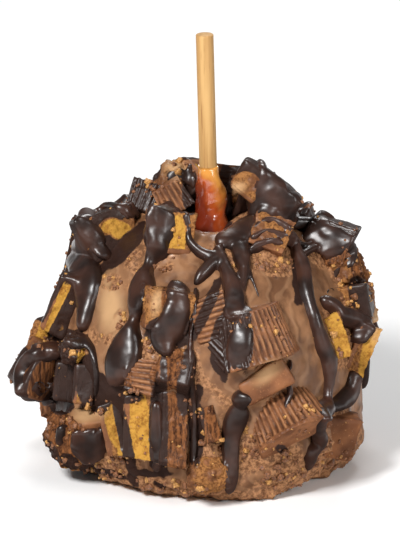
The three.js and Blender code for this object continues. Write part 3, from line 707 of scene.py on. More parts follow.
# These are dipped in dark chocolate, which leaves only a few bare places.
DIPPED = (
    "crown_large_right", "crown_dark_left", "shoulder_large_left", "shoulder_dark_right", "far_left_lobe",
    "left_long_slab", "left_plank_outer", "left_plank_inner", "middle_dark_ridges", "left_nub", "left_bead",
)
PLEATED_STILL = ("crown_dark_left", "shoulder_dark_right", "middle_dark_ridges")
BLUNT = ("crown_large_right", "shoulder_large_left", "far_left_lobe")
# name, across, up, lift, size, seed
FRONT_LUMPS = [
    ("side_crumb_right", 53, 72, 4, (15, 25, 14), 11),
    ("low_crumb_middle", 0.5, -6, 2, (15, 15, 12), 19),
    ("low_crumb_left", -49, 5.5, 3, (22, 23, 15), 23),
    ("left_nub", -60, 44, 5, (9, 12, 9), 29),
    ("left_bead", -47, 39, 3, (11, 11, 10), 31),
]
# name, azimuth, latitude, lift, size, seed
CROWN_LUMPS = [
    ("crown_crumb_left", -142, 73, 9, (17, 15, 18), 3),
    ("crown_crumb_back", 150, 74, 6, (12, 11, 12), 5),
]

# %% [markdown]
# Round the back the pieces stand in rows, as a worker packs them, and chance moves and turns
# each one a little. The chance is seeded, so it is the same each time. Some pieces show clean
# filling, and some are dipped in dark chocolate with a few bare places.

# %% Pieces round the back
# name, latitude, count, first azimuth, last azimuth, lift
BACK_ROWS = [
    ("back_low", -24, 5, 134, 238, -1),
    ("back_middle", -2, 6, 122, 244, 1),
    ("back_upper", 19, 5, 116, 229, 2),
    ("back_shoulder", 39, 4, 138, 218, -2),
    ("back_crown", 65, 2, 146, 203, 3),
]
BACK_CUPS = [HALF, MOST, HALF, SLAB, WEDGE, BAND, THIRD]
BACK_OUTS = [0, 40, 150, 180]
BACK_LOOKS = ["golden", "plain", "dipped", "golden", "dipped", "plain"]
BACK_STRAY = {"azimuth": 6, "latitude": 8, "lift": 2, "pitch": 40}
BACK_SEED = 7
RANDOM_FACTOR = 16807
RANDOM_LIMIT = 2**31 - 1


def seeded_random(seed):
    """A repeatable source of numbers from 0 to 1."""
    state = seed
    while True:
        state = state * RANDOM_FACTOR % RANDOM_LIMIT
        yield state / RANDOM_LIMIT


def one_of(choices, chance):
    return choices[int(next(chance) * len(choices))]


def back_cups():
    chance = seeded_random(BACK_SEED)
    rows = []
    for name, latitude, count, first, last, lift in BACK_ROWS:
        for i in range(count):
            azimuth = first + (last - first) * i / (count - 1) + BACK_STRAY["azimuth"] * (next(chance) - 0.5)
            at = latitude + BACK_STRAY["latitude"] * (next(chance) - 0.5)
            stands = lift + BACK_STRAY["lift"] * (next(chance) - 0.5)
            left = one_of(BACK_CUPS, chance)
            turn = 360 * next(chance)
            pitch = BACK_STRAY["pitch"] * (next(chance) - 0.5)
            out = one_of(BACK_OUTS, chance)
            look = one_of(BACK_LOOKS, chance)
            rows.append((f"{name}_{i + 1}", azimuth, at, stands, left, look, turn, pitch, out))
    return rows


print(len(FRONT_CUPS), "cups in front,", len(back_cups()), "round the back")

# %% [markdown]
# A cup is turned first and then moved to its place. Round the back it is turned in the skin's
# own frame: X runs right along the skin, Y up along it and Z straight out. On the front it is
# turned in the sheet's frame, which is how the viewer sees it.

# %% Placing a piece
def frame_at(right, up, out, spot):
    placing = Matrix((right, up, out)).transposed().to_4x4()
    placing.translation = spot
    return placing


def surface_frame(azimuth, latitude, lift):
    out = direction(azimuth, latitude)
    right = direction(azimuth + 90, 0)
    return frame_at(right, out.cross(right), out, coat_point(azimuth, latitude) + out * lift)


def sheet_frame(across, up, lift):
    spot = surface_frame(*sheet_place(across, up, lift), lift).translation
    return frame_at(SHEET_RIGHT, SHEET_UP, SHEET_OUT, spot)


def cup_turn(turn, pitch, out):
    turn, pitch, out = (math.radians(angle) for angle in (turn, pitch, out))
    along = Vector((math.sin(turn), math.cos(turn), 0))
    outward = Vector((0, 0, 1))
    side = along.cross(outward)
    axis = along * math.cos(pitch) + outward * math.sin(pitch)
    face = outward * math.cos(pitch) - along * math.sin(pitch)
    x = face * math.cos(out) - side * math.sin(out)
    y = face * math.sin(out) + side * math.cos(out)
    return Matrix((x, y, axis)).transposed().to_4x4()

# %% [markdown]
# Some faces are covered in dark chocolate that clings to the piece. The same dark ovals also
# paint shade: dark patches in the gaps between pieces, in the hollows beside the stick and in the
# side hollow, under the left slab and along the foot. Some cuts show clean golden filling, and on
# some the knife has smeared the chocolate into brown streaks. Pale ovals paint highlights where
# the light falls strongest, and a paler tone on some faces. All of these are painted on as
# soft-edged ovals on the sheet, and so are the bare places of the dipped pieces.

# %% Painted faces
# across, up, half width, half height, turn clockwise in degrees
# Dark chocolate on faces, and painted shade in the gaps between pieces, beside the stick, in the side hollow,
# under the left slab and along the foot.
DARK_CHOCOLATE_AND_SHADE_OVALS = [
    (13.5, 104.5, 4.7, 0.4, -22),
    (-52.5, 18, 3.3, 2.5, 0),
    (-49.5, 73, 3.3, 8.7, 5),
    (-56.5, 1, 1.5, 3.3, -30),
    (-49.5, -2.5, 2.5, 1.5, 30),
    (-43, -5, 1.8, 1.5, 0),
    (-35, -6.5, 1.5, 0.4, 15),
    (-20.5, -7, 2.2, 0.4, 0),
    (27.5, 2, 1.1, 0.7, 30),
    (-30, 75, 2.5, 8.7, 45),
    (-30, 8.5, 1.3, 13.1, -12),
    (-15.5, 11, 0.7, 12.3, 0),
    (-8, 23, 1.8, 5.8, 0),
    (5.5, 38, 3.3, 8, 0),
    (-3.5, 12.5, 1.8, 10.9, 0),
    (-5.5, 95.5, 2.2, 5.8, 0),
    (7, 92.5, 1.5, 8.7, 0),
    (-13, 44.5, 8, 5.1, 0),
    (0, 52.5, 1.1, 7.3, 25),
    (34, 65.5, 1.8, 7.3, 0),
    (12.5, 44.5, 3.6, 10.9, -5),
    (-38.5, 22, 3.6, 5.8, 0),
    (56.5, 57, 3.3, 6.5, -20),
    (6, 39, 2.9, 9.1, 0),
    (-51, 29, 3.3, 9.1, 0),
    (-43, 27, 3.3, 7.3, 0),
    (-18, 8.5, 1.8, 12.3, 0),
    (-6, 32.5, 1.5, 5.1, 0),
    (-9.5, 109.5, 7.3, 1.5, 0),
    (-19, 105, 1.8, 3.6, 0),
    (-49.5, 41.5, 4.7, 3.3, 0),
    (-31, 22, 5.8, 2.2, 10),
]
GOLD_OVALS = [
    (-55, 52.5, 1.8, 8.7, 27),
    (-11, 77, 2.5, 7.3, 5),
    (-34.5, 83, 2.2, 1.5, -20),
    (-31, 81.5, 2.9, 2.2, 20),
    (-55.5, 52.5, 1.1, 8, 27),
    (-24.5, 7, 4.4, 15.2, -5),
    (-33, 12, 3.3, 9.4, -20),
    (-27.5, 0, 3.3, 5.8, -20),
    (46, 45.5, 3.3, 9.4, -25),
    (60.5, 38, 2.9, 10.2, 15),
    (56.5, 55, 1.5, 2.9, 0),
    (35.5, 79, 2.9, 1.8, 15),
    (39.5, 75, 4, 1.8, -25),
    (16, 73.5, 2.2, 1.8, 0),
    (20.5, 69.5, 3.6, 2.2, 0),
    (-57.5, 3.5, 2.2, 3.6, -20),
    (-51, -1, 1.8, 2.9, 0),
    (-47, 37.5, 2.2, 1.8, 0),
    (-57, 28, 2.2, 7.3, 30),
    (-52.5, 29, 0.9, 8, 0),
    (-46.5, 30, 1.1, 7.3, 10),
]
FIBROUS_OVALS = [
    (-59, 28.5, 3.3, 6.5, 30),
    (42, 73.5, 9.4, 3.3, 14),
    (-13, 28, 6.5, 8, 0),
    (56, 69, 2.5, 8, 0),
    (-10.5, 8.5, 5.1, 16.7, 0),
    (1, 12.5, 3.3, 8, -10),
    (-53.5, 5.5, 8, 9.4, -30),
    (-33, 28, 5.1, 7.3, 0),
    (-13, 56.5, 2.2, 5.1, 0),
    (-13, 30, 5.1, 8.7, 0),
]
# Painted highlights where the light falls strongest: the coat's left, the tops of the low dome and the middle
# lobe, and the right edge. The rest give some faces a paler tone.
HIGHLIGHT_AND_PALE_OVALS = [
    (-43.5, 14, 7.3, 3.6, 0),
    (-18, 55, 2.9, 7.3, 10),
    (63, 40, 2.5, 11.6, 12),
    (11.5, 97, 4.4, 2.9, -20),
    (-34.5, 53.5, 6.2, 16, 0),
    (-43, 15.5, 8, 4.4, 0),
    (22, 30, 8, 4, -35),
    (62, 49, 2.2, 10.9, 8),
    (55, 70, 2.9, 5.8, 0),
    (-11, 104, 5.8, 5.1, 0),
]
BARE_OVALS = [
    (12.5, 96.5, 6.2, 5.1, -20),
    (61.5, 52, 2.5, 12.3, 8),
    (-59, 28.5, 2.9, 6.5, 30),
    (-35, 83, 2.5, 1.8, -20),
    (-31, 81.5, 3.3, 2.5, 20),
    (-26.5, 84, 2.5, 1.8, 0),
    (-44.5, 86.5, 1.8, 2.2, 0),
    (35.5, 79, 2.9, 1.8, 15),
    (39.5, 75, 4.4, 2.2, -25),
    (-55, 52.5, 0.4, 7.3, 27),
    (-52.5, 28, 0.9, 8, 0),
    (-45.5, 29, 1.1, 7.3, 8),
    (-57.5, 28, 2.2, 8, 32),
    (42, 73.5, 9.4, 3.3, 14),
    (-62, 43, 3.3, 4.4, 0),
]
# Where cups broke up: the same, and how many bits lie there.
BIT_PLACES = [
    (-34, 62.5, 3.3, 2.5, 0, 7),
    (-31, 48.5, 2.2, 3.3, 0, 8),
    (34, 12.5, 3.6, 7.3, 30, 10),
    (-21.5, 39, 2.2, 4.4, 0, 7),
    (-14.5, 38, 5.8, 2.5, 0, 8),
    (25, 68.5, 9.4, 2.9, 0, 22),
    (20.5, 1, 9.4, 7.3, 10, 34),
    (28.5, -8.5, 9.4, 3.6, -8, 26),
    (11, 9, 3.6, 5.1, 0, 8),
    (-52.5, 5.5, 8.7, 8, -30, 30),
    (-38.5, -6, 9.4, 2.9, 14, 22),
    (-13, -11.5, 14.5, 2.5, 4, 26),
    (50.5, 70, 4.4, 9.4, 0, 16),
    (53, 56.5, 3.6, 6.5, -20, 10),
    (-40.5, 18, 5.8, 3.6, 0, 10),
    (-33, -3.5, 3.6, 2.9, 0, 6),
    (6, 3.5, 2.2, 8, 0, 8),
    (-0.5, 11, 2.9, 7.3, 0, 8),
    (45, 40, 3.6, 7.3, -20, 10),
    (-27.5, 22, 4.4, 2.2, 0, 8),
    (-20.5, 96, 7.3, 5.1, 30, 14),
    (-9.5, 102.5, 5.8, 4.4, 0, 12),
    (34, 74.5, 5.8, 2.2, 10, 8),
    (-57.5, 40, 4.4, 3.6, 0, 8),
    (-49.5, 37.5, 3.6, 2.9, 0, 6),
    (44.5, 0, 7.3, 5.1, -20, 18),
    (-6, 20, 2.9, 5.8, 0, 6),
    (-26, 70, 2.9, 3.6, 0, 6),
    (-16.5, 68, 3.6, 2.9, 0, 5),
    (-35, 43.5, 2.9, 2.9, 0, 4),
]

# %% [markdown]
# An oval is painted along the look of the eye, as if it were sprayed from where the viewer
# stands: each point is moved to where the eye sees it on the sheet, and its share is read there.

# %% Painting with ovals
FRONT_FROM = -30
HAZE = 1.4
EDGE_FADE = 0.5


def painted(points, ovals, hazy=False):
    """1 inside an oval on the sheet, 0 outside it, and a soft passage at its edge."""
    seen = EYE_DISTANCE / (EYE_DISTANCE - (points - np.array(EYE_AIM)) @ np.array(SHEET_OUT))
    aim_across, aim_up = EYE_AIM.dot(SHEET_RIGHT), EYE_AIM.dot(SHEET_UP)
    across = aim_across + (points @ np.array(SHEET_RIGHT) - aim_across) * seen
    up = aim_up + (points @ np.array(SHEET_UP) - aim_up) * seen
    front = (points - np.array(MIDDLE)) @ np.array(SHEET_OUT) > FRONT_FROM
    share = np.zeros(len(points))
    for at_across, at_up, half_width, half_height, turn in ovals:
        c, s = math.cos(math.radians(turn)), math.sin(math.radians(turn))
        a = (across - at_across) * c - (up - at_up) * s
        b = (across - at_across) * s + (up - at_up) * c
        reach = np.hypot(a / half_width, b / half_height)
        if hazy:
            inside = np.exp(-HAZE * reach**2)
        else:
            inside = np.clip(1 + (1 - reach) * min(half_width, half_height) * EDGE_FADE, 0, 1)
        share = np.maximum(share, inside * front)
    return share


BARE_STRENGTH = 1.3


def darkness(name, points):
    """How dark each point of a piece is: dark chocolate that covers it, and painted shade."""
    dark = painted(points, DARK_CHOCOLATE_AND_SHADE_OVALS)
    if name in DIPPED:
        dark = np.maximum(dark, 1 - BARE_STRENGTH * painted(points, BARE_OVALS))
    return dark


def mark_faces(piece, points, dark, look="plain"):
    """Stores where a piece is golden and streaked, dark (dark chocolate and painted shade) and pale (painted
    highlight and a paler tone).
    """
    set_marks(piece, "dark", dark)
    set_marks(piece, "golden", np.maximum(painted(points, GOLD_OVALS), look == "golden"))
    set_marks(piece, "fibrous", painted(points, FIBROUS_OVALS))
    set_marks(piece, "pale", painted(points, HIGHLIGHT_AND_PALE_OVALS, True))

# %% [markdown]
# A cup is cut, rebuilt as a skin and smoothed: once if it is bare, and more often the deeper it
# lies under chocolate. Then its surface is roughened, most where the sandy filling is bare.

# %% Making a cup
FRONT_SQUARE = 0.42
BACK_SQUARE = 0.7
SOFT_SQUARE = 0.6
BARE_ROUNDS = 1
PLEATED_ROUNDS = 3
DIPPED_ROUNDS = 12
ROUNDED_ROUNDS = 20
BLUNT_ROUNDS = 45
# How thick the shell is at the side, the foot and the top, and how far a coat hides the filling.
SHELL_SIDE = 2.2
SHELL_FOOT = 1.8
SHELL_TOP = 2.6
HIDDEN = 20
PLEAT_MARGIN = 0.6
# Size of the grain, its height on chocolate, and what is added on bare filling.
CUP_RELIEF = [(8, 0.5, 0), (2.3, 0.12, 0.6), (1.1, 0.04, 0.36)]
BARE_DEPTH = 0.3
BARE_FADE = 0.6
# How much of a dipped piece is covered, and the size of its bare places.
DIP_SHARE = 0.8
DIP_SIZE = 6
SEED_LIMIT = 50
GROOVE_SHARPNESS = 1.5
RIDGE_SHARPNESS = 6


def rounds_for(name):
    """How many rounds of smoothing a piece gets."""
    if name in BLUNT:
        return BLUNT_ROUNDS
    if name in COATED or name in ROUNDED:
        return ROUNDED_ROUNDS
    if name in PLEATED_STILL:
        return PLEATED_ROUNDS
    return DIPPED_ROUNDS if name in DIPPED else BARE_ROUNDS


def make_cup(name, placing, left, square, look="plain"):
    bm, middle = chopped(left)
    rounds = rounds_for(name)
    if rounds > PLEATED_ROUNDS:
        square = SOFT_SQUARE
    piece = melted(object_from(name + "_piece", bm), square, rounds)
    # What a point is, is worked out while the piece still stands in the cup's own frame.
    x, y, height = (points_of(piece) + np.array(middle)).T
    side = cup_radius(height) - np.hypot(x, y)
    filling = np.minimum(np.minimum(side - SHELL_SIDE, height - SHELL_FOOT), CUP_HEIGHT - SHELL_TOP - height)
    if name in COATED:
        filling -= HIDDEN
    wave = np.abs(np.cos(np.arctan2(y, x) * CUP_PLEATS / 2))
    pleated = np.clip((PLEAT_DEPTH + PLEAT_MARGIN - side) * 2, 0, 1)
    pleated *= (height > PLEAT_MARGIN) * (height < CUP_HEIGHT - RIM_EDGE)
    piece.data.transform(placing)
    points = points_of(piece)
    seed = sum(placing.translation) % SEED_LIMIT
    dark = darkness(name, points)
    if look == "dipped":
        dark = np.maximum(dark, np.clip(DIP_SHARE + grain(points, DIP_SIZE, seed) * 2, 0, 1))
    bare = np.clip(filling / BARE_FADE, 0, 1) * np.clip(1 - dark, 0, 1)
    relief = sum(grain(points, size, seed) * (smooth + bare * more) for size, smooth, more in CUP_RELIEF)
    points = roughened(piece, relief - bare * BARE_DEPTH)
    set_marks(piece, "filling", filling)
    # The grooves carry painted shade and the ridges a painted highlight.
    set_marks(piece, "groove_shade", pleated * (1 - wave) ** GROOVE_SHARPNESS)
    set_marks(piece, "ridge", pleated * wave**RIDGE_SHARPNESS)
    mark_faces(piece, points, dark, look)
    return piece


cups = {}
for name, across, up, lift, left, *turns in FRONT_CUPS:
    cups[name] = make_cup(name, sheet_frame(across, up, lift) @ cup_turn(*turns), left, FRONT_SQUARE)
for name, azimuth, latitude, lift, left, look, *turns in back_cups():
    placing = surface_frame(azimuth, latitude, lift) @ cup_turn(*turns)
    cups[name] = make_cup(name, placing, left, BACK_SQUARE, look)
print(len(cups), "cups,", sum(len(cup.data.polygons) for cup in cups.values()), "faces")

# %% [markdown]
# A crumbly lump is what is left when a cup breaks up: a dented ball with coarse and fine grain.

# %% Crumbly lumps
LUMP_DENT = 0.22
LUMP_DENTS = 3.2
# Size of the grain and its height.
LUMP_RELIEF = [(3.5, 1.0), (1.5, 0.7), (0.8, 0.25)]
LUMP_FILLING = 1.2
LUMP_PATCHES = 3


def make_lump(name, azimuth, latitude, lift, size, seed):
    bm = bmesh.new()
    bmesh.ops.create_icosphere(bm, subdivisions=6, radius=0.5)
    for vert in bm.verts:
        dent = 1 + LUMP_DENT * noise.noise(vert.co * LUMP_DENTS + Vector((seed, 0, 0)))
        vert.co = Vector([vert.co[i] * size[i] * dent for i in range(3)])
    piece = object_from(name + "_piece", bm)
    piece.data.transform(surface_frame(azimuth, latitude, lift))
    layers = [(grain_size, seed, height) for grain_size, height in LUMP_RELIEF]
    points = roughened(piece, grains(points_of(piece), layers))
    set_marks(piece, "filling", LUMP_FILLING + grain(points, LUMP_PATCHES, seed) * 2)
    mark_faces(piece, points, darkness(name, points))
    return piece


lumps = {}
for name, across, up, lift, size, seed in FRONT_LUMPS:
    lumps[name] = make_lump(name, *sheet_place(across, up, lift), lift, size, seed)
for row in CROWN_LUMPS:
    lumps[row[0]] = make_lump(*row)
pieces = [*cups.values(), *lumps.values()]
print(len(lumps), "lumps, which makes", len(pieces), "pieces")

# %% [markdown]
# ## The coat
# The milk chocolate coat is one closed skin: a ball pushed out to the coat's reach. The chocolate
# climbs the sides of the pieces that were pressed into it, so the skin is raised near them. How
# high they stand is found by looking in at the middle from outside, and then spread out sideways.

# %% How the coat climbs the pieces
LAID_FROM = 120
COAT_DIVISIONS = 7
FILLET_MOST = 9
FILLET_SHARE = 0.34
FILLET_ROUNDS = 9
FILLET_SPREAD = 0.6


def tree_of(objects):
    """One search tree over the faces of several objects."""
    points, faces, first = [], [], 0
    for made in objects:
        points.extend(v.co[:] for v in made.data.vertices)
        faces.extend(tuple(first + i for i in p.vertices) for p in made.data.polygons)
        first = len(points)
    return BVHTree.FromPolygons(points, faces)


def outer_reach(tree, out):
    """How far the surface reaches from the apple's middle in a direction."""
    hit, _, _, distance = tree.ray_cast(MIDDLE + out * LAID_FROM, -out, LAID_FROM)
    return LAID_FROM - distance if hit else 0.0


piece_tree = tree_of(pieces)
bm = bmesh.new()
bmesh.ops.create_icosphere(bm, subdivisions=COAT_DIVISIONS, radius=1)
coat = object_from("milk_coat", bm)
ways = points_of(coat)
edges = np.empty(len(coat.data.edges) * 2, np.int64)
coat.data.edges.foreach_get("vertices", edges)
starts, ends = edges.reshape(-1, 2).T
bare = np.array([coat_reach(*angles_of(Vector(w))) for w in ways])
covered = np.array([outer_reach(piece_tree, Vector(w)) for w in ways])
rise = np.clip(covered - bare, 0, FILLET_MOST)
links = np.bincount(edges, minlength=len(ways))
for _ in range(FILLET_ROUNDS):
    total = np.bincount(starts, rise[ends], len(ways)) + np.bincount(ends, rise[starts], len(ways))
    rise = (1 - FILLET_SPREAD) * rise + FILLET_SPREAD * total / links
reach = bare + rise * FILLET_SHARE
print("the coat is raised by up to", round(float(rise.max() * FILLET_SHARE), 1), "mm")

# %% [markdown]
# The coat is smooth where it ran, and rough in patches: by the pieces, low on the right, round
# the foot, and where cups broke up. A share from 0 to 1 says how rough each point is.

# %% Where the coat is rough
# The middle and half sizes of the rough place low on the right, on a ball of radius 1.
LOW_RIGHT_AT = (0.5, -0.62)
LOW_RIGHT_SIZE = (0.75, 0.45)
FOOT_BAND_FROM = 0.42
FOOT_BAND_FADE = 0.15
# Size and seed of the rough patches, and of those where cups broke up.
PATCHES = (13, 3)
BROKEN_PATCHES = (6, 31)
ROUGH_BY_PIECES = 0.12

spots = ways * reach[:, None]
patches = grain(spots, *PATCHES)
aside = (ways[:, 0] - LOW_RIGHT_AT[0]) / LOW_RIGHT_SIZE[0]
above = (ways[:, 2] - LOW_RIGHT_AT[1]) / LOW_RIGHT_SIZE[1]
low_right = np.clip(2 - 2 * np.hypot(aside, above), 0, 1) * (ways[:, 1] < 0)
foot_band = np.clip((-ways[:, 2] - FOOT_BAND_FROM) / FOOT_BAND_FADE, 0, 1)
foot_band *= np.clip(0.9 + patches * 0.6, 0, 1)
broken = painted(spots + np.array(MIDDLE), [place[:5] for place in BIT_PLACES])
rough = np.clip(patches * 1.5 + rise * ROUGH_BY_PIECES, 0, 1)
rough = np.clip(np.maximum(rough, low_right * (0.8 + patches)), 0, 1)
rough = np.maximum(rough, foot_band)
rough = np.maximum(rough, broken * np.clip(0.65 + grain(spots, *BROKEN_PATCHES) * 1.3, 0, 1))
print("rough share of the coat:", round(float(rough.mean()), 2))

# %% [markdown]
# The relief has three parts: soft swells all over, crumbs where it is rough, and coarse lumps
# round the foot, which has also been broken back in two places. The foot itself is flat.

# %% Relief of the coat
# Size of the grain, seed and height of each layer.
SWELL_LAYERS = [(14, 1, 0.7), (6.5, 21, 0.35), (3.2, 2, 0.22)]
ROUGH_LAYERS = [(3.6, 7, 1.1), (1.9, 4, 0.8), (1.0, 6, 0.3)]
FOOT_LAYERS = [(6, 17, 1.6), (3, 18, 0.9)]
# Where the foot has been broken back: azimuth, spread in degrees, depth.
FOOT_NOTCHES = [(46, 16, 3.2), (-42, 22, 2.2)]
NOTCH_FROM = 0.35
NOTCH_FADE = 0.25
LEAST_DROP = 1e-6
DARK_SPOTS = (4, 12)

reach += grains(spots, SWELL_LAYERS) + rough * grains(spots, ROUGH_LAYERS)
reach += np.maximum(foot_band, low_right) * grains(spots, FOOT_LAYERS)
azimuths = np.degrees(np.arctan2(ways[:, 0], -ways[:, 1]))
low = np.clip((-ways[:, 2] - NOTCH_FROM) / NOTCH_FADE, 0, 1)
for notch_azimuth, spread, depth in FOOT_NOTCHES:
    reach -= depth * low * np.exp(-(((azimuths - notch_azimuth) / spread) ** 2))
to_floor = MIDDLE.z / np.maximum(-ways[:, 2], LEAST_DROP)
points = ways * np.minimum(reach, to_floor)[:, None] + np.array(MIDDLE)
set_points(coat, points)
set_marks(coat, "rough", rough)
# The dark mark paints dark chocolate that ran into gaps, and painted shade between the pieces and along the
# foot.
set_marks(coat, "dark", painted(points, DARK_CHOCOLATE_AND_SHADE_OVALS) + grain(points, *DARK_SPOTS) * 0.5)
# The pale mark paints highlights onto the coat where the light falls strongest.
set_marks(coat, "pale", painted(points, HIGHLIGHT_AND_PALE_OVALS, True))
print("the coat has", len(coat.data.polygons), "faces")

# %% [markdown]
# ## The drizzle
# The dark chocolate falls in thick ropes that cling to whatever they cross. Each rope in front
# is laid out on the sheet by the places that it runs through, as a decorator moves the spoon.

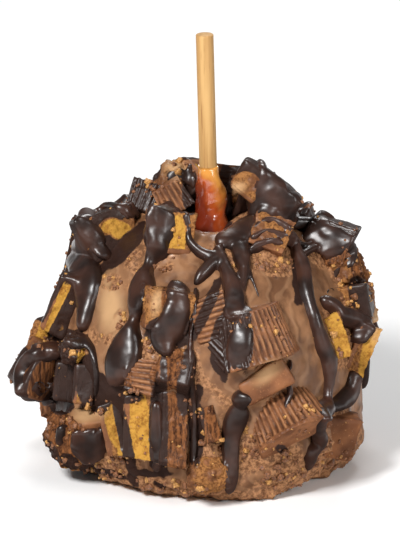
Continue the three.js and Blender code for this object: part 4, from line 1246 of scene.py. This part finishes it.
# %% Strands on the front
# what it is, thickness, and the places that it runs through: across, up and width
FRONT_STRANDS = [
    ("shoulder rope, lens and head", 4.2, [
        (-11, 90.5, 8.7), (-15.5, 88, 12.3), (-19, 81.5, 11.3), (-18, 75, 8.3), (-20.5, 68.5, 4),
        (-23, 61, 10.2), (-24.5, 54, 8.3), (-26, 48.5, 4.7), (-28.5, 40, 13.1), (-31, 32.5, 13.8),
        (-33.5, 25, 6.5),
    ]),
    ("arm to the crossing", 3.4, [
        (-10, 88.5, 5.8), (-6.5, 85, 3.6), (-6.5, 79, 2.9), (-4.5, 75, 3.3), (-0.5, 72, 4.4),
        (5, 71, 5.8),
    ]),
    ("block by the stick", 3.2, [(3, 76, 7.3), (8, 78, 9.4), (13.5, 80.5, 10.2), (18, 84.5, 6.5)]),
    ("leaf", 3, [(6, 72, 3.6), (1.5, 68.5, 5.4), (-1.5, 65.5, 5.1), (-4.5, 61, 1.8)]),
    ("crossing to the large cup", 3.6, [
        (3.5, 76, 4.4), (6, 70, 5.1), (8.5, 63.5, 6.2), (10, 57, 8), (9, 50.5, 7.3), (8.5, 47.5, 3.6),
    ]),
    ("second fall", 3, [
        (11, 78, 6.5), (13, 71.5, 7.3), (13.5, 66.5, 4.4), (13, 60, 2.9), (12.5, 54.5, 1.8),
    ]),
    ("thin fall", 1.2, [(15, 70, 1.5), (16.5, 64.5, 1.5), (19.5, 56.5, 1.1)]),
    ("edge of the crown slab", 3.2, [
        (10, 85.5, 2.9), (13.5, 89.5, 5.1), (18, 92, 5.4), (24, 90.5, 6.5), (29, 87.5, 7.3),
    ]),
    ("sheet over the right shoulder", 2.2, [
        (35, 84.5, 2.9), (38.5, 83, 5.1), (43, 81, 6.2), (48, 78.5, 6.2), (51.5, 75.5, 4.4),
        (54, 72, 2.9),
    ]),
    ("hook on the right shoulder", 2.4, [
        (45, 75.5, 2.5), (49, 77, 3.6), (52.5, 75, 4), (52.5, 71, 3.3), (51.5, 67, 1.8),
    ]),
    ("loop on the right shoulder", 1.6, [
        (31, 78, 1.8), (35, 75.5, 1.8), (39, 77, 1.8), (40.5, 79.5, 1.5),
    ]),
    ("line on the right shoulder", 1.8, [
        (32.5, 71.5, 2.5), (36.5, 73.5, 2.5), (41.5, 75.5, 2.2), (45.5, 77, 1.8),
    ]),
    ("long right ribbon", 3.6, [
        (30.5, 84.5, 3.6), (30.5, 78, 3.6), (32, 73, 4.4), (34.5, 68, 6.2), (35.5, 60.5, 5.8),
        (37.5, 53.5, 5.4), (40.5, 44, 6.5), (43.5, 35, 6.5), (44, 27, 4.7), (43, 21.5, 3.3),
        (43, 17, 5.8), (42, 11.5, 5.1), (39.5, 5, 5.4), (38, -0.5, 5.1), (36.5, -6.5, 1.8),
    ]),
    ("stub on the right side", 4.2, [(40.5, 57, 4.4), (45, 54, 6.5), (50.5, 49.5, 6.9), (56, 45.5, 6.9)]),
    ("lobe under the stub", 2.8, [(52.5, 47, 3.6), (54, 43, 4.4), (54, 39.5, 2.5)]),
    ("curl by the stub", 0.8, [
        (44, 57.5, 1.1), (44, 60.5, 0.7), (45.5, 61.5, 0.7), (47, 59, 0.7), (46.5, 57, 0.7),
    ]),
    ("teardrop", 3.4, [
        (52.5, 31.5, 1.5), (52.5, 26, 6.2), (51, 21, 8.3), (46.5, 19, 5.1), (43, 16, 5.1),
    ]),
    ("block over the foot", 2.6, [(8.5, 20.5, 5.8), (12.5, 20, 7.3), (17.5, 20.5, 4.4)]),
    ("fall over the foot", 2.8, [
        (13.5, 19, 8), (10.5, 12.5, 8.7), (9, 5.5, 6.9), (9, -2.5, 6.5), (9, -9, 5.8), (8.5, -14, 2.9),
    ]),
    ("long thin line", 1.7, [
        (-3.5, 61, 1.5), (-4, 50.5, 1.5), (-5.5, 44, 1.5), (-5.5, 31, 1.6), (-4.5, 22, 1.8),
        (-4, 12.5, 2.5), (-4.5, 3.5, 2.9), (-5.5, -5.5, 1.8),
    ]),
    ("second lens", 3.6, [
        (-11, 63, 5.1), (-10, 56.5, 9.4), (-11.5, 49.5, 9.8), (-14, 45, 11.6), (-15, 39.5, 8),
        (-12.5, 35.5, 4.4),
    ]),
    ("top of the left slab", 3, [
        (-45.5, 87, 3.6), (-42, 89.5, 5.4), (-37, 91, 5.1), (-31, 89.5, 4.4), (-23.5, 87, 2.9),
    ]),
    ("left slab, outer fall", 3.4, [
        (-42, 89, 5.8), (-45, 82.5, 8.7), (-46.5, 75, 9.1), (-43.5, 69, 11.6), (-41.5, 62, 10.9),
        (-42.5, 55, 9.1), (-43.5, 48.5, 6.2), (-44.5, 44, 3.6),
    ]),
    ("left slab, middle fall", 2, [(-42, 81, 2.9), (-38, 74.5, 5.1), (-35.5, 70, 3.3)]),
    ("far left lobe", 3.2, [
        (-52.5, 41.5, 3.3), (-56.5, 39, 5.4), (-61.5, 36.5, 6.5), (-65.5, 33, 6.5), (-68, 28.5, 6.2),
        (-67.5, 23.5, 6.2), (-64.5, 19.5, 3.6),
    ]),
    ("far left lobe, foot", 2.2, [(-66, 22, 3.3), (-62.5, 19, 3.6), (-58, 19, 3.3), (-55, 21.5, 2.2)]),
    ("left bead", 3.6, [(-51, 40, 4.4), (-49, 41.5, 8), (-47, 40.5, 7.3), (-44.5, 43, 2.9)]),
    ("from the bead", 2, [
        (-44.5, 44, 2.9), (-41.5, 39.5, 2.2), (-40, 34, 2.9), (-39.5, 27, 2.2), (-40, 20.5, 1.8),
    ]),
    ("low dome", 3, [
        (-43, 10, 10.2), (-42.5, 8, 13.1), (-41.5, 5, 12.3), (-40.5, 1, 9.1), (-39.5, -2.5, 4.4),
    ]),
    ("low dome, left fall", 2.4, [(-46, 10, 3.3), (-46, 7, 4.4), (-45, 2.5, 2.9)]),
    ("low dome, middle fall", 2.6, [(-41.5, 10.5, 3.3), (-41.5, 5.5, 4.4), (-40.5, -1, 3.6)]),
    ("low dome, right fall", 2.4, [(-38, 10.5, 2.9), (-37.5, 6, 4.4), (-38, 1, 2.9)]),
    ("low dome, left drop", 1.8, [(-51.5, 12, 2.9), (-53, 7, 3.3), (-53.5, 2, 1.8)]),
    ("dark layer of the gold slab", 1.8, [
        (-18, 20.5, 3.6), (-18, 12.5, 4.4), (-18, 3.5, 4.4), (-17.5, -5.5, 3.3),
    ]),
    ("face of the large cup", 1.6, [
        (14.5, 54, 5.8), (13.5, 48.5, 8.7), (12.5, 41, 9.4), (11.5, 34.5, 8), (11, 29.5, 4.4),
    ]),
    ("thin line on the cup's rim", 1.4, [
        (30, 35.5, 1.1), (30.5, 28.5, 1.5), (29.5, 21.5, 1.5), (29, 15.5, 1.1),
    ]),
    ("top of the crown crumb", 1.6, [
        (-16.5, 107, 1.5), (-13, 109, 1.8), (-8.5, 109.5, 1.8), (-4.5, 108, 2.2),
    ]),
    # The next two are dark sheets laid into the hollows beside the stick, where there is shade: painted
    # shade.
    ("shade left of the stick", 1.4, [
        (-5, 98.5, 1.8), (-4.5, 95.5, 2.2), (-4, 92.5, 2.5), (-4, 89, 2.2),
    ]),
    ("shade right of the stick", 1.4, [(7.5, 96, 2.5), (7.5, 92.5, 2.9), (7.5, 89, 2.9), (7, 84.5, 2.9)]),
    ("sheet over the crown slab", 2.4, [
        (19, 103.5, 2.9), (21.5, 101.5, 5.4), (24, 98.5, 8), (27, 94.5, 8.7), (30, 89.5, 8),
        (32.5, 84, 5.1),
    ]),
    ("chevron high", 1.7, [
        (15, 80, 2.2), (19, 84, 2.2), (22.5, 86, 2.2), (27, 84.5, 2.2), (31, 81.5, 2.2),
    ]),
    ("chevron middle", 1.6, [
        (14.5, 76.5, 1.8), (18.5, 80, 1.8), (22, 82, 1.8), (27, 80.5, 1.8), (30.5, 78.5, 1.8),
    ]),
    ("chevron low", 1.7, [(15, 73, 2.2), (19.5, 76, 2.9), (24, 78, 2.5), (29, 76.5, 2.2)]),
]

# %% [markdown]
# A strand needs a smooth line through its places, which a spline gives, and steps short enough
# to follow what lies below. A running mean takes the small jumps out of a row of numbers.

# %% Smooth lines
STRAND_STEP = 0.8


def along_stops(stops, step=STRAND_STEP):
    """Even steps along a smooth line through the stops, which may hold any numbers."""
    stops = np.array(stops, float)
    padded = np.vstack([2 * stops[0] - stops[1], stops, 2 * stops[-1] - stops[-2]])
    rows = []
    for i in range(len(stops) - 1):
        a, b, c, d = padded[i : i + 4]
        slope, bend, twist = c - a, 2 * a - 5 * b + 4 * c - d, 3 * b - a - 3 * c + d
        steps = max(2, int(np.linalg.norm((c - b)[:2]) / step))
        for t in np.arange(steps) / steps:
            rows.append(0.5 * (2 * b + slope * t + bend * t * t + twist * t**3))
    rows.append(stops[-1])
    return np.array(rows)


def eased(values, reach, axis=0):
    """A running mean with soft shoulders along one axis."""
    weights = np.exp(-0.5 * (np.arange(-2 * reach, 2 * reach + 1) / reach) ** 2)
    weights /= weights.sum()
    padding = [(0, 0)] * values.ndim
    padding[axis] = (2 * reach, 2 * reach)
    padded = np.pad(values, padding, mode="edge")
    return np.apply_along_axis(lambda v: np.convolve(v, weights, "valid"), axis, padded)


def unit(vectors):
    return vectors / np.linalg.norm(vectors, axis=1)[:, None]

# %% [markdown]
# A strand is a strip that is laid over the coat and the pieces. At each step along it, points
# across its width look down for what is below them. The strip bridges small dips, follows deep
# ones down, is domed on top and rounded at its ends, and reaches a little into what it lies on.

# %% Laying a strand
LANES = 13
WAY_EASE = 2
TANGENT_EASE = 3
LENGTH_EASE = 6
WIDTH_EASE = 3
EDGE_DEPTH = 0.7
INSIDE = 2.2
# How far above a dip a strand may hang, and how far a peak may rise into it.
BRIDGED = 3.5
POKED = 1.5
# A strand is no thicker than this share of its width, and this share is left at its ends.
THICKEST = 0.62
END_THICKNESS = 0.35
LEAST_HALF_WIDTH = 0.3
LEAST_END = 0.02


def rounded_ends(spots, widths):
    """The share of its width that a strand has at each step: less at its two ends."""
    run = np.concatenate([[0], np.cumsum(np.linalg.norm(np.diff(spots, axis=0), axis=1))])
    to_end = np.minimum(run, run[-1] - run)
    close = np.clip(to_end / np.maximum(widths / 2, LEAST_HALF_WIDTH), 0, 1)
    return np.sqrt(np.clip(1 - (1 - close) ** 2, LEAST_END, 1))


def domed_strip(rays, top, bottom):
    """A closed strip between two heights along a grid of rays from the apple's middle."""
    count, lanes = top.shape
    strip = bmesh.new()
    bmesh.ops.create_grid(strip, x_segments=count - 1, y_segments=lanes - 1, size=1)
    for vert in strip.verts:
        vert.co.z = -1
    raised = bmesh.ops.extrude_face_region(strip, geom=strip.faces[:], use_keep_orig=True)
    for vert in [g for g in raised["geom"] if isinstance(g, bmesh.types.BMVert)]:
        vert.co.z = 1
    for vert in strip.verts:
        i = round((vert.co.x + 1) / 2 * (count - 1))
        j = round((vert.co.y + 1) / 2 * (lanes - 1))
        height = top[i, j] if vert.co.z > 0 else bottom[i, j]
        vert.co = MIDDLE + Vector(rays[i, j] * height)
    bmesh.ops.recalc_face_normals(strip, faces=strip.faces)
    return strip


def lay_strand(bm, tree, ways, widths, thickness, flatness):
    """Adds one strip to the bmesh: ways are directions from the apple's middle."""
    ways = unit(eased(ways, WAY_EASE))
    spots = ways * np.array([outer_reach(tree, Vector(w)) for w in ways])[:, None]
    tangents = np.gradient(eased(spots, TANGENT_EASE), axis=0)
    sides = unit(np.cross(ways, tangents))
    round_end = rounded_ends(spots, widths)
    lanes = np.linspace(-1, 1, LANES)
    offsets = (widths / 2 * round_end)[:, None] * lanes
    rays = spots[:, None, :] + sides[:, None, :] * offsets[:, :, None]
    rays /= np.linalg.norm(rays, axis=2)[:, :, None]
    below = np.array([[outer_reach(tree, Vector(ray)) for ray in row] for row in rays])
    soft = np.minimum(eased(eased(below, LENGTH_EASE, 0), WIDTH_EASE, 1), below + BRIDGED)
    dome = np.sqrt(np.clip(1 - np.abs(lanes) ** flatness, 0, 1))
    thick = np.minimum(thickness, widths * THICKEST) * (END_THICKNESS + (1 - END_THICKNESS) * round_end)
    top = np.maximum(soft, below - POKED) + dome[None, :] * (thick[:, None] + EDGE_DEPTH) - EDGE_DEPTH
    strip = domed_strip(rays, top, soft - INSIDE)
    open_edges = sum(not e.is_manifold for e in strip.edges)
    if open_edges:
        print("a strip is open at", open_edges, "edges")
    mesh = bpy.data.meshes.new("strip")
    strip.to_mesh(mesh)
    strip.free()
    bm.from_mesh(mesh)
    bpy.data.meshes.remove(mesh)

# %% [markdown]
# In front, a look from the eye through each step on the sheet finds where the strand lies. All
# strips are then rebuilt as one skin, so ropes that cross run together as the melted chocolate
# did. Thin strands are laid flatter than thick ones.

# %% Front drizzle
FRONT_SKIN = (0.58, 7)
THINNEST = 0.6
THICK_FROM = 2.5
THICK_FLATNESS = 2.2
THIN_FLATNESS = 3.5
MISSED_LIFT = 6


def seen_point(tree, across, up, over_edge=True):
    """Where a look from the eye through a place on the sheet meets the surface."""
    way = (sheet_point(across, up) - EYE).normalized()
    hit, _, _, _ = tree.ray_cast(EYE, way)
    if hit is None and over_edge:
        azimuth, latitude = sheet_place(across, up, MISSED_LIFT)
        hit = coat_point(azimuth, latitude) + direction(azimuth, latitude) * MISSED_LIFT
    return hit


surface_tree = tree_of(pieces + [coat])
bm = bmesh.new()
for _, thickness, stops in FRONT_STRANDS:
    rows = along_stops(stops)
    line = unit(np.array([seen_point(surface_tree, across, up) - MIDDLE for across, up, _ in rows]))
    flatness = THICK_FLATNESS if thickness > THICK_FROM else THIN_FLATNESS
    lay_strand(bm, surface_tree, line, np.maximum(rows[:, 2], THINNEST), thickness, flatness)
front_drizzle = without_scraps(melted(object_from("front_drizzle", bm), *FRONT_SKIN))
print("front drizzle:", len(front_drizzle.data.polygons), "faces")

# %% [markdown]
# Round the back the strands run down from the crown, sway from side to side, and swell and thin
# as they go. A formula gives their stops, as directions from the apple's middle and a width.

# %% Back drizzle
# azimuth, sway in degrees and lowest latitude of each
BACK_STRANDS = [
    (100, 9, -18),
    (122, -12, -30),
    (143, 8, -5),
    (163, -10, -26),
    (184, 11, -14),
    (205, -9, -32),
    (226, 10, -8),
    (247, -8, -24),
]
BACK_TOP = 60
BACK_REACH = 60
BACK_WIDTH = (4, 8)
BACK_STOPS = 7
BACK_BEADS = 9
BACK_THICKNESS = 3.4
BACK_SKIN = (0.7, 5)

bm = bmesh.new()
for azimuth, sway, lowest in BACK_STRANDS:
    stops = []
    for i in range(BACK_STOPS):
        share = i / (BACK_STOPS - 1)
        at = azimuth + sway * math.sin(share * 2 * math.pi + azimuth)
        latitude = BACK_TOP + (lowest - BACK_TOP) * share
        swell = 0.5 + 0.5 * math.cos(share * BACK_BEADS + azimuth)
        width = BACK_WIDTH[0] + (BACK_WIDTH[1] - BACK_WIDTH[0]) * swell
        stops.append((*(direction(at, latitude) * BACK_REACH), width))
    rows = along_stops(stops)
    lay_strand(bm, surface_tree, unit(rows[:, :3]), rows[:, 3], BACK_THICKNESS, THICK_FLATNESS)
back_drizzle = without_scraps(melted(object_from("back_drizzle", bm), *BACK_SKIN))
print("back drizzle:", len(back_drizzle.data.polygons), "faces")

# %% [markdown]
# Chocolate that sets as it runs keeps faint ripples, which break up its shine.

# %% Ripples on the drizzle
RIPPLES = [(7, 8, 0.3), (2.5, 9, 0.1)]

for drizzle in (front_drizzle, back_drizzle):
    relief = grains(points_of(drizzle), RIPPLES)
    roughened(drizzle, relief)
    print(drizzle.name, "ripples by up to", round(float(np.abs(relief).max()), 2), "mm")

# %% [markdown]
# ## Crumbs
# Small crumbs of cup lie on the chocolate, thickest where it is rough. Each is a ball of a few
# faces, dented, squashed and turned by chance, and half sunk into what it lies on.

# %% Crumbs
CRUMBS = 1500
CRUMB_SEED = 11
CRUMB_LEAST = 0.3
CRUMB_RANGE = 0.75
CRUMB_RARITY = 2.5
CRUMB_SQUASH = (0.5, 1.3)
CRUMB_DENT = 0.25
CRUMB_LIFT = 0.1
CRUMB_LOWEST = 1.5
CRUMBS_BELOW = 0.9
PEANUT_CRUMBS = 0.3
MOST_TURN = 6


def tumbled(chance, least, most):
    """Squashed by chance along each axis, and then turned by chance."""
    turned = Matrix.Rotation(chance.random() * MOST_TURN, 4, Vector(chance.normal(size=3)))
    return turned @ Matrix.Diagonal((*chance.uniform(least, most, 3), 1))


chance = np.random.default_rng(CRUMB_SEED)
share = rough**2 * (ways[:, 2] < CRUMBS_BELOW)
drawn = chance.choice(len(ways), CRUMBS, replace=False, p=share / share.sum())
bm = bmesh.new()
kinds = []
for way in ways[drawn]:
    spot = MIDDLE + Vector(way) * (outer_reach(surface_tree, Vector(way)) + CRUMB_LIFT)
    if spot.z < CRUMB_LOWEST:
        continue
    size = CRUMB_LEAST + CRUMB_RANGE * chance.random() ** CRUMB_RARITY
    placing = Matrix.Translation(spot) @ tumbled(chance, *CRUMB_SQUASH)
    made = bmesh.ops.create_icosphere(bm, subdivisions=1, radius=size, matrix=placing)
    kinds.extend([float(chance.random() < PEANUT_CRUMBS)] * len(made["verts"]))
    for vert in made["verts"]:
        vert.co += Vector(chance.uniform(-CRUMB_DENT, CRUMB_DENT, 3)) * size
crumbs = object_from("crumbs", bm)
set_marks(crumbs, "kind", kinds)
print("the crumbs have", len(crumbs.data.polygons), "faces")

# %% [markdown]
# Where cups broke up, larger bits lie together. A bit is a ball whose sides are pressed flat
# against a box, which leaves a block with soft edges, and its faces are then dented.

# %% Broken bits
BIT_SEED = 5
BIT_LEAST = 0.6
BIT_RANGE = 1.4
BIT_RARITY = 2
BIT_SQUASH = (0.55, 1.35)
BIT_BOX = 0.62
BIT_DENT = 0.3
BIT_DENTS = 1.7
BIT_SHIFT = 50
PEANUT_BITS = 0.22


def broken_bit(bm, chance, spot, size):
    """Adds one bit to the bmesh and returns its vertices."""
    placing = Matrix.Translation(spot) @ tumbled(chance, *BIT_SQUASH)
    verts = bmesh.ops.create_icosphere(bm, subdivisions=2, radius=1)["verts"]
    shift = Vector(chance.uniform(0, BIT_SHIFT, 3))
    for vert in verts:
        pressed = Vector([max(-BIT_BOX, min(BIT_BOX, value)) for value in vert.co])
        pressed *= 1 + BIT_DENT * noise.noise(vert.co * BIT_DENTS + shift)
        vert.co = placing @ (pressed * size)
    return verts


chance = np.random.default_rng(BIT_SEED)
bm = bmesh.new()
kinds = []
for at_across, at_up, half_width, half_height, turn, count in BIT_PLACES:
    c, s = math.cos(math.radians(turn)), math.sin(math.radians(turn))
    for _ in range(count):
        far, angle = math.sqrt(chance.random()), chance.random() * 2 * math.pi
        a, b = far * half_width * math.cos(angle), far * half_height * math.sin(angle)
        spot = seen_point(surface_tree, at_across + a * c + b * s, at_up - a * s + b * c, False)
        size = BIT_LEAST + BIT_RANGE * chance.random() ** BIT_RARITY
        if spot is None or spot.z < size + FLOOR_GAP:
            continue
        verts = broken_bit(bm, chance, spot, size)
        kinds.extend([float(chance.random() < PEANUT_BITS)] * len(verts))
bits = object_from("broken_bits", bm)
set_marks(bits, "kind", kinds)
print("the broken bits have", len(bits.data.polygons), "faces")

# %% [markdown]
# ## Stick and caramel
# The stick is a dowel with a softened edge at each end, and leans a little. It is cut into
# rings along its length.

# %% Stick
STICK_SIDES = 64
STICK_EDGE = 0.45
STICK_RINGS = 60
LEANING = Matrix.Translation((STICK_OFFSET, 0, 0)) @ Matrix.Rotation(math.radians(-STICK_LEAN), 4, "Y")
length = STICK_TOP - STICK_BOTTOM

bm = bmesh.new()
bmesh.ops.create_cone(
    bm,
    cap_ends=True,
    segments=STICK_SIDES,
    radius1=STICK_RADIUS,
    radius2=STICK_RADIUS,
    depth=length,
)
bmesh.ops.translate(bm, verts=bm.verts, vec=(0, 0, STICK_BOTTOM + length / 2))
bmesh.ops.bevel(
    bm,
    geom=[e for e in bm.edges if climb_of(e) < 0.01],
    offset=STICK_EDGE,
    offset_type="OFFSET",
    affect="EDGES",
    segments=3,
    profile=0.5,
    material=-1,
)
bmesh.ops.subdivide_edges(bm, edges=[e for e in bm.edges if climb_of(e) > length / 2], cuts=STICK_RINGS)
stick = object_from("birch_stick", bm)
stick.data.transform(LEANING)
print("the stick has", len(stick.data.polygons), "faces")

# %% [markdown]
# The caramel is spun from a profile round the stick. Then it is pushed out on the right, where
# the film bulges, and dented all round so that it isn't a perfect round. A mark says how thick
# it is: most low down and on the left.

# %% Caramel
# Radius and height of the profile, from the pool up to the edge of the film.
CARAMEL_PROFILE = [
    (3, 83), (6.8, 83.5), (7.2, 86), (6.3, 89.5), (5.2, 93.5),
    (4.8, 98), (4.6, 102), (4.2, 105.5), (3.8, 108), (3.35, 110),
]
CARAMEL_STEP = 0.7
CARAMEL_SIDES = 72
CARAMEL_SKIN = 0.15
BULGE_HEIGHT = 98
BULGE_SPREAD = 5
BULGE = 1.6
CARAMEL_LUMP = 4
CARAMEL_LUMPS = 0.5
# The film thins out at its top and to the right, and thickens over this height further down.
FILM_TOP = 110
FILM_FADE = 6
FILM_ACROSS = 7
THICK_TOP = 108
THICK_FADE = 20
THICK_SHARE = 0.55

bm = bmesh.new()
profile = [bm.verts.new((radius, 0, height)) for radius, height in along_stops(CARAMEL_PROFILE, CARAMEL_STEP)]
outline = [bm.edges.new(pair) for pair in zip(profile, profile[1:] + profile[:1])]
circle = {"cent": (0, 0, 0), "axis": (0, 0, 1), "angle": 2 * math.pi, "steps": CARAMEL_SIDES}
bmesh.ops.spin(bm, geom=profile + outline, use_merge=True, **circle)
bmesh.ops.recalc_face_normals(bm, faces=bm.faces)
for vert in bm.verts:
    radius = math.hypot(vert.co.x, vert.co.y)
    if radius < STICK_RADIUS + CARAMEL_SKIN:
        continue
    near = math.exp(-(((vert.co.z - BULGE_HEIGHT) / BULGE_SPREAD) ** 2))
    vert.co.x += BULGE * near * max(0, vert.co.x / radius)
    lump = noise.noise(vert.co / CARAMEL_LUMP) * CARAMEL_LUMPS
    vert.co.x += lump * vert.co.x / radius
    vert.co.y += lump * vert.co.y / radius
caramel = object_from("caramel_collar", bm)
x, _, height = points_of(caramel).T
leftward = np.clip(0.5 - x / FILM_ACROSS, 0, 1) * np.clip((FILM_TOP - height) / FILM_FADE, 0, 1)
lower = np.clip((THICK_TOP - height) / THICK_FADE, 0, 1)
set_marks(caramel, "thick", np.clip(lower * THICK_SHARE + leftward * THICK_SHARE, 0, 1))
caramel.data.transform(LEANING)
print("the caramel has", len(caramel.data.polygons), "faces")

# %% [markdown]
# ## Handing the pieces over
# Each finished piece is scaled to metres, given its finish, and put in the place of its nodes.
# The drizzle, the crumbs and the bits are part of the coated apple's look and replace nothing.

# %% Hand the pieces over
def finished(made, finish, slot, *replaced):
    made.data.transform(Matrix.Scale(MM, 4))
    made.data.materials.clear()
    made.data.materials.append(finish)
    made.data.shade_smooth()
    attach(made, "root")
    if replaced:
        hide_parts(*replaced)


for name, piece in cups.items():
    finished(piece, CUP, "cup_chocolate", name)
for name, piece in lumps.items():
    finished(piece, CUP, "peanut_crumb", name)
finished(coat, MILK, "milk_chocolate", "coated_apple")
finished(front_drizzle, DARK, "milk_chocolate")
finished(back_drizzle, DARK, "milk_chocolate")
finished(crumbs, CRUMB, "peanut_crumb")
finished(bits, CRUMB, "peanut_crumb")
finished(stick, BIRCH, "stick_wood", "stick")
finished(caramel, CARAMEL, "caramel", "caramel")
print("handed over", len(pieces) + 7, "pieces")

# %% [markdown]
# ## Floor, light and camera
# The floor and the world are pale, so the dark chocolate is seen against them and gets some
# light back from below.

# %% Floor
FLOOR_HALF = 3

bm = bmesh.new()
bmesh.ops.create_grid(bm, x_segments=1, y_segments=1, size=FLOOR_HALF)
floor = object_from("floor", bm)
paper = Finish("paper", Base_Color=tint(250, 250, 250), Roughness=1.0, Specular_IOR_Level=0.0)
floor.data.materials.append(paper.material)
print("the floor is", 2 * FLOOR_HALF, "m across")

# %% [markdown]
# A large soft light stands high on the left in front, a weaker one fills from the right, and a
# third rims the top from behind. Disks give round, soft highlights on the chocolate.

# %% Light
# name, place, aim, size in metres and power in watts
LIGHTS = [
    ("key", (-0.45, -0.8, 0.85), (0, 0, 0.06), 0.32, 17),
    ("fill", (0.85, -0.75, 0.6), (0, 0, 0.06), 0.4, 5.5),
    ("rim", (0.2, 0.9, 1.0), (0, 0.1, 0), 0.5, 8.5),
]
WORLD_STRENGTH = 0.12

for name, spot, aim, size, power in LIGHTS:
    lamp = bpy.data.lights.new(name, "AREA")
    lamp.shape = "DISK"
    lamp.size = size
    lamp.energy = power
    light = bpy.data.objects.new(name, lamp)
    light.location = spot
    light.rotation_euler = (Vector(aim) - Vector(spot)).to_track_quat("-Z", "Y").to_euler()
    scene.collection.objects.link(light)
world = bpy.data.worlds.new("studio")
world.use_nodes = True
background = world.node_tree.nodes["Background"]
background.inputs["Color"].default_value = (1, 1, 1, 1)
background.inputs["Strength"].default_value = WORLD_STRENGTH
scene.world = world
scene.view_settings.view_transform = "Standard"
print(len(LIGHTS), "lights")

# %% [markdown]
# The camera stands at the layout's eye and looks down by the sheet's 18 degrees through a long
# lens, so what was laid out on the sheet is seen where it was put.

# %% Camera
SENSOR = 36
SEEN_WIDTH = 145.2
CLIP_FAR = 10

lens = bpy.data.cameras.new("camera")
lens.sensor_width = SENSOR
lens.sensor_fit = "HORIZONTAL"
lens.lens = SENSOR * EYE_DISTANCE / SEEN_WIDTH
lens.clip_end = CLIP_FAR
camera = bpy.data.objects.new("camera", lens)
camera.location = EYE * MM
camera.rotation_euler = (-SHEET_OUT).to_track_quat("-Z", "Y").to_euler()
scene.collection.objects.link(camera)
scene.camera = camera
print("the lens is", round(lens.lens), "mm long")
